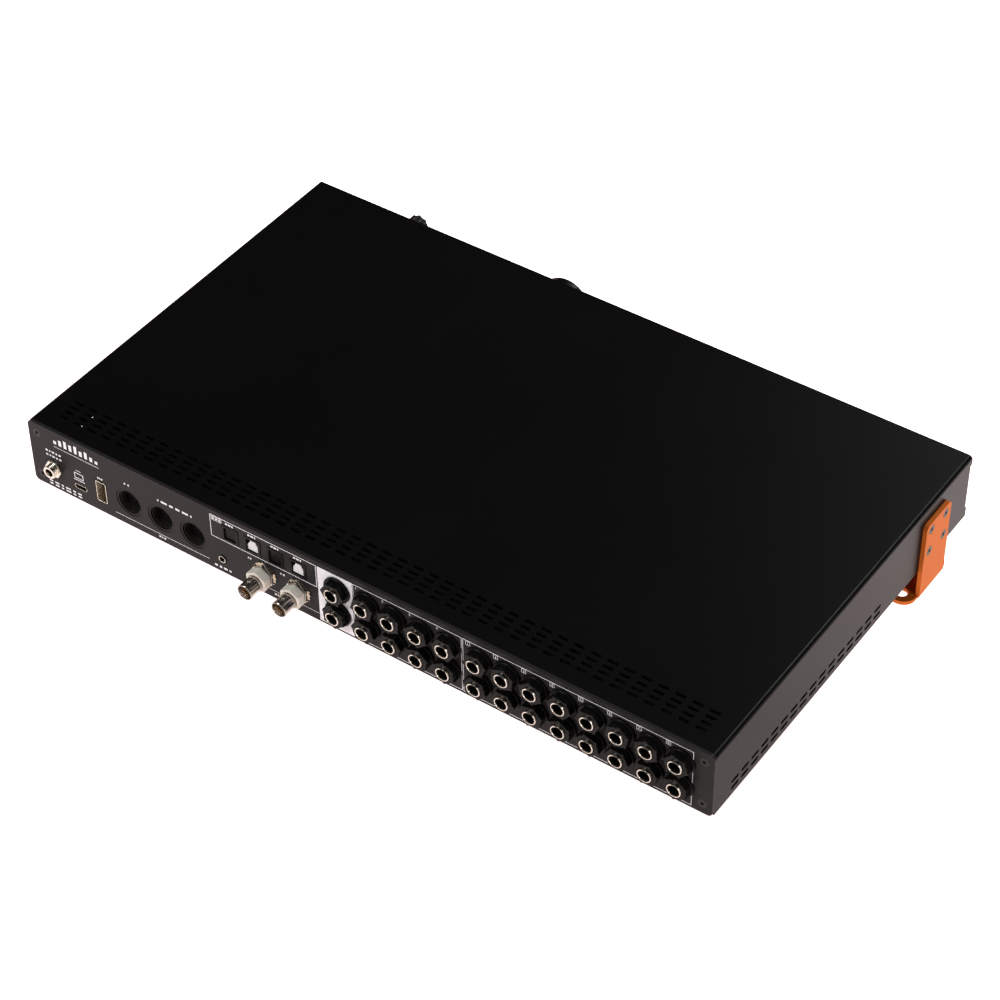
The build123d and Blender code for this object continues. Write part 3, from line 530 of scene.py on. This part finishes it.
print_marks += [bar(21.5, 1.2, 17.0, 40.3), bar(0.2, 1.2, -1.2, 40.3)]
print_marks += [bar(17.0, 38.8, 0.2, 40.3), bar(17.0, 1.2, 0.2, 5.2)]
jack_heights, first_column = (30.4, 13.6), 8.6
for height in jack_heights:
    centre_z = case_low + height
    print_marks.append(ring_plate("surround", polygon(4, 8.4), circle(7.2), first_column, centre_z,
                                  ink_low, ink_high, 48))
print_marks += outline_box(-1.6, 1.6, -70.6, 40.3, 0.35) + outline_box(-71.2, 1.6, -209.0, 40.3, 0.35)
numbers = [(-3.6 - 17.2 * n, n + 1) for n in range(4)]
boxed = [(-74.4 - 17.15 * n, n + 1) for n in range(8)]
for x, _ in boxed:
    print_marks += outline_box(x + 1.4, 36.9, x - 1.4, 39.9, 0.25)
for x, number in numbers + boxed:
    bpy.ops.object.text_add(location=Vector((x, ink_low + 0.02, case_low + 37.4)) * mm, rotation=(pi / 2, 0, pi))
    digit = bpy.context.object
    digit.data.body = str(number)
    digit.data.align_x = "CENTER"
    digit.data.size = 2.6 * mm
    digit.data.extrude = 0.02 * mm
    bpy.ops.object.convert(target="MESH")
    print_marks.append(bpy.context.object)
settle(joined(print_marks, "plate_print"), white_ink, "case", "grey_panel")


# Socket screws
# Countersunk socket screws in blackened steel at the plates' corners, in the ears and under the tray: dark, with worn
# spots.

# Oil-blacked steel: near black, with browner and duller spots where the oxide is thin.
black_oxide = new_finish("black_oxide_steel")
place = add_node(black_oxide, "ShaderNodeTexCoord")
wear = add_node(black_oxide, "ShaderNodeTexNoise", {"Scale": per_metre(0.8), "Detail": 4.0},
                {"Vector": place.outputs["Object"]})
tint = add_node(black_oxide, "ShaderNodeMixRGB", {"Color1": linear("#0b0b0b"), "Color2": linear("#35332f")},
                {"Fac": wear.outputs["Fac"]})
dull = add_node(black_oxide, "ShaderNodeMapRange", {"To Min": 0.28, "To Max": 0.5},
                {"Value": wear.outputs["Fac"]})
steel = add_node(black_oxide, "ShaderNodeBsdfPrincipled", {"Metallic": 0.15, "Specular IOR Level": 0.2},
                 {"Base Color": tint.outputs["Color"], "Roughness": dull.outputs["Result"]})
add_node(black_oxide, "ShaderNodeOutputMaterial", {}, {"Surface": steel.outputs["BSDF"]})
for node_name in ("bracket_screws", "panel_screws", "base_screws"):
    settle(softened(node_name, 0.12, f"socketed_{node_name}"), black_oxide, "case", "black_screw", node_name)


# Quarter-inch jacks
# Each has a nickel-plated brass barrel through the plate and a black moulded nut with a round
# flange and six grip lobes screwed over it. Their housings stand behind the plate.
def turned(name, outline, x, z, y, sides=48, outward=1):
    """Spins an outline of (radius, depth beyond y) about a line along Y."""
    points = [(x + radius, y + outward * depth, z) for radius, depth in outline]
    vertex_at(points[0])
    draw_on(points)
    bpy.ops.mesh.select_all(action="SELECT")
    bpy.ops.mesh.spin(steps=sides, angle=2 * pi, center=Vector((x, 0, z)) * mm, axis=(0, 1, 0))
    bpy.ops.mesh.select_all(action="SELECT")
    bpy.ops.mesh.remove_doubles(threshold=0.001 * mm)
    piece = close_up(name)
    bpy.ops.object.shade_smooth_by_angle(angle=radians(35))
    return piece


def copy_to(piece, name, dx, dz, turn=0.0, about=(0, 0)):
    """A copy with its own mesh, turned about a line along Y through `about` and then moved."""
    twin = own_copy(piece, name)
    centre = Matrix.Translation(Vector((about[0], 0, about[1])) * mm)
    shift = Matrix.Translation(Vector((dx, 0, dz)) * mm)
    twin.data.transform(shift @ centre @ Matrix.Rotation(turn, 4, "Y") @ centre.inverted())
    return twin


# Bright nickel on brass: pale, slightly warm metal with faint polishing haze.
nickel = new_finish("bright_nickel_plate")
place = add_node(nickel, "ShaderNodeTexCoord")
haze = add_node(nickel, "ShaderNodeTexNoise", {"Scale": per_metre(1.5), "Detail": 3.0},
                {"Vector": place.outputs["Object"]})
tint = add_node(nickel, "ShaderNodeMixRGB", {"Color1": linear("#cbc2b2"), "Color2": linear("#e6e1d8")},
                {"Fac": haze.outputs["Fac"]})
polish = add_node(nickel, "ShaderNodeMapRange", {"To Min": 0.12, "To Max": 0.26},
                  {"Value": haze.outputs["Fac"]})
plating = add_node(nickel, "ShaderNodeBsdfPrincipled", {"Metallic": 1.0},
                   {"Base Color": tint.outputs["Color"], "Roughness": polish.outputs["Result"]})
add_node(nickel, "ShaderNodeOutputMaterial", {}, {"Surface": plating.outputs["BSDF"]})

# Glass-filled nylon, moulded with a spark-eroded texture: near black, dull, fine grain.
black_nylon = new_finish("moulded_black_nylon")
place = add_node(black_nylon, "ShaderNodeTexCoord")
grain = add_node(black_nylon, "ShaderNodeTexNoise", {"Scale": per_metre(0.5), "Detail": 3.0},
                 {"Vector": place.outputs["Object"]})
tint = add_node(black_nylon, "ShaderNodeMixRGB", {"Color1": linear("#090909"), "Color2": linear("#141312")},
                {"Fac": grain.outputs["Fac"]})
relief = add_node(black_nylon, "ShaderNodeBump", {"Strength": 0.25, "Distance": 0.00004},
                  {"Height": grain.outputs["Fac"]})
moulding = add_node(black_nylon, "ShaderNodeBsdfPrincipled", {"Specular IOR Level": 0.1, "Roughness": 0.36},
                    {"Base Color": tint.outputs["Color"], "Normal": relief.outputs["Normal"]})
add_node(black_nylon, "ShaderNodeOutputMaterial", {}, {"Surface": moulding.outputs["BSDF"]})
finish_nodes(black_nylon, "line_jack_housings")

jack_pitch = 17.2
inputs = [-10.6 - jack_pitch * n for n in range(4)]
outputs = [-81.6 - jack_pitch * n for n in range(8)]
jack_columns = [first_column, *inputs, *outputs]
jack_places = [(x, case_low + height) for x in jack_columns for height in jack_heights]
first_x, first_z = jack_places[0]
barrel_outline = [(3.45, -9.9), (3.45, 6.2), (3.6, 6.5), (3.85, 6.6), (4.15, 6.4), (4.25, 6.1),
                  (4.25, -9.9), (3.45, -9.9)]
first_barrel = turned("jack_barrel_1", barrel_outline, first_x, first_z, panel_y, 40)
liner_outline = [(3.25, -9.9), (3.25, 5.9), (3.35, 6.0), (3.45, 6.0), (3.45, -9.9), (3.25, -9.9)]
first_liner = turned("jack_liner_1", liner_outline, first_x, first_z, panel_y, 32)
flange_outline = [(4.35, 0), (8.1, 0), (8.3, 0.2), (8.3, 1.2), (8.0, 1.6), (4.35, 1.6), (4.35, 0)]
flange = turned("jack_flange", flange_outline, first_x, first_z, panel_y)
lobed = lambda turn: 6.5 + 1.1 * max(0.0, cos(6 * turn)) ** 2.5
nut_body = ring_plate("nut_body", lobed, circle(4.35), first_x, first_z, panel_y + 1.5, panel_y + 5.4, 72)
round_edges(nut_body, 0.3, 50)
first_nut = joined([flange, nut_body], "jack_nut_1")
for number, (x, z) in enumerate(jack_places):
    barrel, liner, nut = first_barrel, first_liner, first_nut
    if number:
        dx, dz = x - first_x, z - first_z
        barrel = copy_to(first_barrel, f"jack_barrel_{number + 1}", dx, dz)
        liner = copy_to(first_liner, f"jack_liner_{number + 1}", dx, dz)
        nut = copy_to(first_nut, f"jack_nut_{number + 1}", dx, dz, radians(-23 * number), (first_x, first_z))
    settle(barrel, nickel, "case", "nickel", "line_jack_barrels")
    settle(liner, black_nylon, "case", "black_plastic")
    settle(nut, black_nylon, "case", "black_plastic", "line_jack_nuts")


# Five-pin sockets
# Three black moulded inserts in the plate, each with a blackened steel screening ring round the
# plug's way in and five tinned sprung contacts behind its holes.
settle(softened("midi_cores", 0.15, "five_pin_inserts"), black_nylon, "case", "black_plastic", "midi_cores")
settle(softened("midi_shells", 0.08, "five_pin_rings"), black_oxide, "case", "nickel", "midi_shells")
contact_outline = [(0.4, -9.5), (0.4, -6.7), (0.5, -6.5), (0.65, -6.6), (0.65, -9.5), (0.4, -9.5)]
insert_columns, insert_z, contact_circle = (151.1, 128.8, 106.4), case_low + 17.6, 3.75
contacts = []
for x in insert_columns:
    for turn in range(0, 181, 45):
        cx, cz = x + contact_circle * cos(radians(turn)), insert_z - contact_circle * sin(radians(turn))
        if contacts:
            contacts.append(copy_to(contacts[0], "contact", cx - contact_x, cz - contact_z))
        else:
            contact_x, contact_z = cx, cz
            contacts.append(turned("contact", contact_outline, cx, cz, panel_y, 16))
settle(joined(contacts, "five_pin_contacts"), nickel, "case", "nickel", "midi_cores")


# Power inlet, USB ports and clock jack
# The inlet is a plated threaded barrel with a hex nut and a centre pin, in a black housing behind the
# plate. The ports are folded tinned steel round moulded tongues, and the clock jack has a plated ring.
settle(softened("dc_jack_body", 0.2, "inlet_body"), nickel, "case", "nickel", "dc_jack_body")
settle(softened("dc_jack_pin", 0.25, "inlet_pin"), nickel, "case", "nickel", "dc_jack_pin")
low, high = [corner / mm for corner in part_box("dc_jack_body")]
wall = Vector((0.2, 0.2, 0.2))
low, high = low - wall, high + wall
hood = [(high.x, low.z), (low.x, low.z), (low.x, high.z), (high.x, high.z)]
inlet_housing = plate_from("inlet_housing", hood, low.y, panel_y - 2.1)
round_edges(inlet_housing, 0.4)
settle(inlet_housing, black_nylon, "case", "black_plastic")
thread = [(3.8, 2.3)]
for turn in range(6):
    thread += [(4.05, 2.5 + 0.5 * turn), (3.86, 2.75 + 0.5 * turn)]
thread += [(3.8, 5.35), (3.8, 2.3)]
inlet_thread = turned("inlet_thread", thread, 204.3, case_low + 16.3, panel_y, 48)
settle(inlet_thread, nickel, "case", "nickel", "dc_jack_body")
settle(softened("usb_c_shell", 0.1, "c_port_shell"), nickel, "case", "nickel", "usb_c_shell")
settle(softened("usb_c_tongue", 0.08, "c_port_tongue"), black_nylon, "case", "black_plastic", "usb_c_tongue")
settle(softened("usb_a_shell", 0.12, "a_port_shell"), nickel, "case", "nickel", "usb_a_shell")
settle(softened("mini_jacks", 0.12, "small_jacks"), black_nylon, "case", "black_plastic", "mini_jacks")
ring_outline = [(1.8, -0.6), (1.8, 0.55), (1.95, 0.68), (2.2, 0.68), (2.3, 0.55), (2.3, -0.6), (1.8, -0.6)]
clock_ring = turned("clock_jack_ring", ring_outline, 86.8, case_low + 10.1, panel_y, 32)
settle(clock_ring, nickel, "case", "nickel", "mini_jacks")

# Natural nylon: warm off-white that lets a little light into its edges.
cream_nylon = new_finish("moulded_cream_nylon")
place = add_node(cream_nylon, "ShaderNodeTexCoord")
flow = add_node(cream_nylon, "ShaderNodeTexNoise", {"Scale": per_metre(4), "Detail": 2.0},
                {"Vector": place.outputs["Object"]})
tint = add_node(cream_nylon, "ShaderNodeMixRGB", {"Color1": linear("#dcd5c8"), "Color2": linear("#ece7dd")},
                {"Fac": flow.outputs["Fac"]})
nylon = add_node(cream_nylon, "ShaderNodeBsdfPrincipled",
                 {"Roughness": 0.42, "Subsurface Weight": 0.1, "Subsurface Scale": 0.001},
                 {"Base Color": tint.outputs["Color"]})
add_node(cream_nylon, "ShaderNodeOutputMaterial", {}, {"Surface": nylon.outputs["BSDF"]})
settle(softened("usb_a_tongue", 0.15, "a_port_tongue"), cream_nylon, "case", "cream_plastic", "usb_a_tongue")

# Gold flash on copper alloy: yellow and bright, worn a little unevenly.
gold_flash = new_finish("gold_flashed_contact")
place = add_node(gold_flash, "ShaderNodeTexCoord")
rub = add_node(gold_flash, "ShaderNodeTexNoise", {"Scale": per_metre(0.7), "Detail": 2.0},
               {"Vector": place.outputs["Object"]})
tint = add_node(gold_flash, "ShaderNodeMixRGB", {"Color1": linear("#c9963f"), "Color2": linear("#e5bd6d")},
                {"Fac": rub.outputs["Fac"]})
gold = add_node(gold_flash, "ShaderNodeBsdfPrincipled", {"Metallic": 1.0, "Roughness": 0.22},
                {"Base Color": tint.outputs["Color"]})
add_node(gold_flash, "ShaderNodeOutputMaterial", {}, {"Surface": gold.outputs["BSDF"]})
strips = []
tongue_x, strip_z = 171.2 - 0.9, case_low + 15.0
for height in (-3.5, -1.0, 1.0, 3.5):
    low, high = strip_z + height - 0.35, strip_z + height + 0.35
    strip = [(tongue_x + 0.12, low), (tongue_x - 0.05, low), (tongue_x - 0.05, high), (tongue_x + 0.12, high)]
    strips.append(plate_from("strip", strip, panel_y - 9.0, panel_y - 2.6))
settle(joined(strips, "a_port_contacts"), gold_flash, "case", "gold", "usb_a_tongue")


# Optical ports
# Four black moulded housings, each with a flap hung from its top edge that a plug pushes in. The
# input flaps are black and grooved, and the output flaps are light grey with cut top corners.
settle(softened("optical_housings", 0.15, "optical_blocks"), black_nylon, "case", "black_plastic", "optical_housings")

# Light grey moulded acetal: smooth, faintly marbled.
grey_acetal = new_finish("moulded_grey_acetal")
place = add_node(grey_acetal, "ShaderNodeTexCoord")
flow = add_node(grey_acetal, "ShaderNodeTexNoise", {"Scale": per_metre(3), "Detail": 2.0},
                {"Vector": place.outputs["Object"]})
tint = add_node(grey_acetal, "ShaderNodeMixRGB", {"Color1": linear("#c6c6c9"), "Color2": linear("#d9d9da")},
                {"Fac": flow.outputs["Fac"]})
acetal = add_node(grey_acetal, "ShaderNodeBsdfPrincipled", {"Roughness": 0.4},
                  {"Base Color": tint.outputs["Color"]})
add_node(grey_acetal, "ShaderNodeOutputMaterial", {}, {"Surface": acetal.outputs["BSDF"]})

flap_low, flap_high = case_low + 27.25, case_low + 34.9
ports = (("optical_in_1", 79.9, False), ("optical_out_1", 64.8, True),
         ("optical_in_2", 49.5, False), ("optical_out_2", 34.5, True))
for name, x, is_output in ports:
    left, right = x + 3.7, x - 3.7
    cut, shoulder = (1.8, 4.4) if is_output else (0.5, 0.8)
    corner_z, slope_z = flap_high - shoulder, flap_high - 0.35 * shoulder
    shield = [(left, flap_low), (right, flap_low), (right, corner_z), (right + cut, slope_z),
              (right + cut, flap_high), (left - cut, flap_high), (left - cut, slope_z), (left, corner_z)]
    leaf = plate_from("leaf", shield, panel_y - 1.15, panel_y - 0.55)
    round_edges(leaf, 0.12, 50)
    raised = []
    if is_output:
        inner = [(x + (px - x) * 0.8, flap_low + 0.8 + (pz - flap_low) * 0.8) for px, pz in shield]
        raised.append(plate_from("pad", inner, panel_y - 0.6, panel_y - 0.42))
    else:
        for step in range(4):
            low = flap_low + 1.0 + 1.6 * step
            rib = [(x + 2.9, low), (x - 2.9, low), (x - 2.9, low + 0.7), (x + 2.9, low + 0.7)]
            raised.append(plate_from("rib", rib, panel_y - 0.6, panel_y - 0.42))
    flap = joined([leaf, *raised], f"{name}_leaf")
    finish, slot_name = (grey_acetal, "grey_shutter") if is_output else (black_nylon, "black_plastic")
    settle(flap, finish, f"{name}_shutter_flap", slot_name, f"{name}_shutter")


# Coaxial bayonet sockets
# Die-cast shells, chrome plated, that pass through the plate. Outside it each has a toothed
# washer, a hex nut, a moulded cream collar and two studs that a plug's ring locks on.
# Chrome over a cast surface: long soft dents draw the light into streaks, and the plate's colour is painted lighter
# and darker along the same dents as painted reflection streaks.
chrome = new_finish("dark_chrome_plate_painted_streaks")
place = add_node(chrome, "ShaderNodeTexCoord")
stretch = add_node(chrome, "ShaderNodeMapping", {"Scale": (1.0, 0.15, 1.0)},
                   {"Vector": place.outputs["Object"]})
dents_and_painted_streaks = add_node(chrome, "ShaderNodeTexNoise", {"Scale": per_metre(1.2), "Detail": 2.0},
                 {"Vector": stretch.outputs["Vector"]})
# Painted reflection: the plating's colour follows the dents, lighter and darker in long streaks.
tint = add_node(chrome, "ShaderNodeMixRGB", {"Color1": linear("#8d867e"), "Color2": linear("#c9c3ba")},
                {"Fac": dents_and_painted_streaks.outputs["Fac"]})
cast = add_node(chrome, "ShaderNodeBump", {"Strength": 0.3, "Distance": 0.00008},
                {"Height": dents_and_painted_streaks.outputs["Fac"]})
shell_metal = add_node(chrome, "ShaderNodeBsdfPrincipled", {"Metallic": 1.0, "Roughness": 0.2},
                       {"Base Color": tint.outputs["Color"], "Normal": cast.outputs["Normal"]})
add_node(chrome, "ShaderNodeOutputMaterial", {}, {"Surface": shell_metal.outputs["BSDF"]})
shell_outline = [(0, 10.1), (4.1, 10.1), (4.1, 17.8), (4.3, 18.15), (4.65, 18.15), (4.85, 17.9), (4.85, 17.0),
                 (4.7, 16.8), (4.7, 10.6), (4.3, 10.2), (4.3, 9.0), (4.6, 8.9), (4.6, -11.0), (0, -11.0)]
insulator_outline = [(2.3, 10.1), (2.3, 13.0), (2.5, 13.2), (3.3, 13.2), (3.5, 13.0), (3.5, 10.1), (2.3, 10.1)]
bayonet_columns, bayonet_z, stud_y = (57.1, 34.4), case_low + 15.8, panel_y + 13.7
bayonet_x = bayonet_columns[0]
shell = turned("bayonet_shell", shell_outline, bayonet_x, bayonet_z, panel_y)
studs = []
bpy.ops.object.select_all(action="DESELECT")
for side in (1, -1):
    stud_centre = Vector((bayonet_x, stud_y, bayonet_z + side * 5.175))
    bpy.ops.mesh.primitive_cylinder_add(vertices=24, radius=1.0 * mm, depth=1.35 * mm, location=stud_centre * mm)
    studs.append(bpy.context.object)
    round_edges(studs[-1], 0.25, 50)
shell = joined([shell, *studs], "bayonet_shell_1")
teeth = lambda turn: 7.05 + 0.45 * (cos(18 * turn) > 0)
washer = ring_plate("washer", teeth, circle(5.2), bayonet_x, bayonet_z, panel_y, panel_y + 0.7, 144)
hex_nut = ring_plate("hex_nut", polygon(6, 6.3), circle(4.7), bayonet_x, bayonet_z, panel_y + 0.7, panel_y + 3.0, 60)
round_edges(hex_nut, 0.3, 25)
nut = joined([washer, hex_nut], "bayonet_nut_1")
collar = ring_plate("bayonet_collar_1", polygon(6, 6.1), circle(4.7), bayonet_x, bayonet_z,
                    panel_y + 3.3, panel_y + 9.0, 60)
round_edges(collar, 0.6, 25, 3)
insulator = turned("bayonet_insulator_1", insulator_outline, bayonet_x, bayonet_z, panel_y, 32)
bayonet_pieces = (
    (shell, chrome, "nickel", "bnc_shells"),
    (nut, nickel, "nickel", "bnc_nuts"),
    (collar, cream_nylon, "cream_plastic", "bnc_collars"),
    (insulator, cream_nylon, "cream_plastic", "bnc_shells"),
)
for number, x in enumerate(bayonet_columns):
    for piece, material, slot_name, node_name in bayonet_pieces:
        if number:
            piece = copy_to(piece, piece.name.replace("_1", "_2"), x - bayonet_x, 0)
        settle(piece, material, "case", slot_name, node_name)
settle(softened("bnc_pins", 0.15, "bayonet_contacts"), gold_flash, "case", "gold", "bnc_pins")


# Front plate, display and front sockets
# A 3 mm steel plate, powder coated black, with a smoked acrylic window over the display. The two
# combination sockets and the headphone sockets are black mouldings that it holds.
settle(softened("front_panel", 0.3, "front_plate"), black_coat, "case", "black_steel", "front_panel")
settle(softened("combo_jacks", 0.2, "combination_sockets"), black_nylon, "case", "black_plastic", "combo_jacks")
settle(softened("phones_jack", 0.15, "headphone_socket"), black_nylon, "case", "black_plastic", "phones_jack")

# Smoked acrylic: polished, dark, lets the display's glow through.
smoked_acrylic = new_finish("polished_smoked_acrylic")
place = add_node(smoked_acrylic, "ShaderNodeTexCoord")
smoke = add_node(smoked_acrylic, "ShaderNodeTexNoise", {"Scale": per_metre(40), "Detail": 1.0},
                 {"Vector": place.outputs["Object"]})
tint = add_node(smoked_acrylic, "ShaderNodeMixRGB", {"Color1": linear("#4a4c50"), "Color2": linear("#56585c")},
                {"Fac": smoke.outputs["Fac"]})
clear = add_node(smoked_acrylic, "ShaderNodeBsdfTransparent", {}, {"Color": tint.outputs["Color"]})
gloss = add_node(smoked_acrylic, "ShaderNodeBsdfGlossy", {"Roughness": 0.05})
facing = add_node(smoked_acrylic, "ShaderNodeFresnel", {"IOR": 1.49})
pane = add_node(smoked_acrylic, "ShaderNodeMixShader", {}, {"Fac": facing.outputs["Fac"]})
smoked_acrylic.node_tree.links.new(clear.outputs["BSDF"], pane.inputs[1])
smoked_acrylic.node_tree.links.new(gloss.outputs["BSDF"], pane.inputs[2])
add_node(smoked_acrylic, "ShaderNodeOutputMaterial", {}, {"Surface": pane.outputs["Shader"]})
settle(softened("display_window", 0.25, "window_pane"), smoked_acrylic, "case", "window", "display_window")

# Display glass at rest: almost black, faintly blue, in fine cells 1 mm apart.
display_glass = new_finish("dark_display_glass")
place = add_node(display_glass, "ShaderNodeTexCoord")
cells = add_node(display_glass, "ShaderNodeTexBrick",
                 {"Scale": per_metre(4), "Mortar Size": 0.02, "Color1": linear("#0a0d14"),
                  "Color2": linear("#0c1018"), "Mortar": linear("#05070a")},
                 {"Vector": place.outputs["Object"]})
glass = add_node(display_glass, "ShaderNodeBsdfPrincipled", {"Roughness": 0.12},
                 {"Base Color": cells.outputs["Color"]})
add_node(display_glass, "ShaderNodeOutputMaterial", {}, {"Surface": glass.outputs["BSDF"]})
finish_nodes(display_glass, "display_module")

# Lit segments: even glow, a little brighter up each column.
lit_segments = new_finish("glowing_level_segments")
place = add_node(lit_segments, "ShaderNodeTexCoord")
height_in = add_node(lit_segments, "ShaderNodeSeparateXYZ", {}, {"Vector": place.outputs["Object"]})
rise = add_node(lit_segments, "ShaderNodeMapRange",
                {"From Min": 0.028, "From Max": 0.055, "To Min": 0.8, "To Max": 1.6},
                {"Value": height_in.outputs["Z"]})
glow = add_node(lit_segments, "ShaderNodeBsdfPrincipled",
                {"Base Color": linear("#9fd6e8"), "Roughness": 0.4, "Emission Color": linear("#9fd6e8")},
                {"Emission Strength": rise.outputs["Result"]})
add_node(lit_segments, "ShaderNodeOutputMaterial", {}, {"Surface": glow.outputs["BSDF"]})
screen_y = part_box("display_module")[0].y / mm
first_bar, bar_pitch, bar_foot, segment_pitch = -81, 4.6, case_low + 13.0, 1.9
segments = []
for column, lit in enumerate((6, 8, 5, 4, 7, 9, 3, 2, 5, 6, 4, 3)):
    left = first_bar + bar_pitch * column
    for row in range(lit):
        low = bar_foot + segment_pitch * row
        segment = [(left, low), (left + 3.0, low), (left + 3.0, low + 1.2), (left, low + 1.2)]
        segments.append(plate_from("segment", segment, screen_y - 0.06, screen_y - 0.01))
settle(joined(segments, "level_segments"), lit_segments, "case", "display")


# Controls
# A push encoder and a level control carry black moulded knobs on steel shafts. The eight push
# buttons are black caps over switches on the front board.
finish_nodes(black_nylon, "button_switches")
finish_nodes(bright_steel, "encoder_body", "encoder_plunger", "encoder_shaft", "phones_pot_body", "phones_shaft")
settle(softened("main_knob", 0.8, "large_knob", 3), black_nylon, "main_turn", "black_plastic", "main_knob")
settle(softened("phones_knob", 0.4, "small_knob"), black_nylon, "phones_turn", "black_plastic", "phones_knob")
for use in ("power", "input_1", "input_2", "home", "back", "speaker_a", "speaker_b", "mute"):
    cap_face = softened(f"{use}_button", 0.35, f"{use}_button_cap_face")
    settle(cap_face, black_nylon, f"{use}_button_cap", "black_plastic", f"{use}_button")


# Cover
# One sheet of 1.2 mm steel folded into an upturned U, with slots punched in its top and sides and
# the same black powder as the tray. It is the last of the case to go on.
settle(softened("top_cover", 0.12, "folded_cover"), black_coat, "case", "black_steel", "top_cover")


# Turned-under ears
# Two rack ears of 2.5 mm bent steel, powder coated orange and screwed to the sides with their
# slotted flanges pointing in under the case, so that the front stands higher than the rear.
orange_coat = new_finish("orange_powder_coat")
place = add_node(orange_coat, "ShaderNodeTexCoord")
cloud = add_node(orange_coat, "ShaderNodeTexNoise", {"Scale": per_metre(25), "Detail": 3.0},
                 {"Vector": place.outputs["Object"]})
tint = add_node(orange_coat, "ShaderNodeMixRGB", {"Color1": linear("#c66626"), "Color2": linear("#ce6c2a")},
                {"Fac": cloud.outputs["Fac"]})
peel = add_node(orange_coat, "ShaderNodeTexNoise", {"Scale": per_metre(0.9), "Detail": 2.0},
                {"Vector": place.outputs["Object"]})
relief = add_node(orange_coat, "ShaderNodeBump", {"Strength": 0.2, "Distance": 0.00005},
                  {"Height": peel.outputs["Fac"]})
coat = add_node(orange_coat, "ShaderNodeBsdfPrincipled", {"Specular IOR Level": 0.04, "Roughness": 0.5},
                {"Base Color": tint.outputs["Color"], "Normal": relief.outputs["Normal"]})
add_node(orange_coat, "ShaderNodeOutputMaterial", {}, {"Surface": coat.outputs["BSDF"]})
for node_name in ("bracket_right", "bracket_left"):
    settle(softened(node_name, 0.4, f"{node_name}_ear"), orange_coat, "case", "orange_steel", node_name)
finish_nodes(bright_steel, "ear_nut_plates")
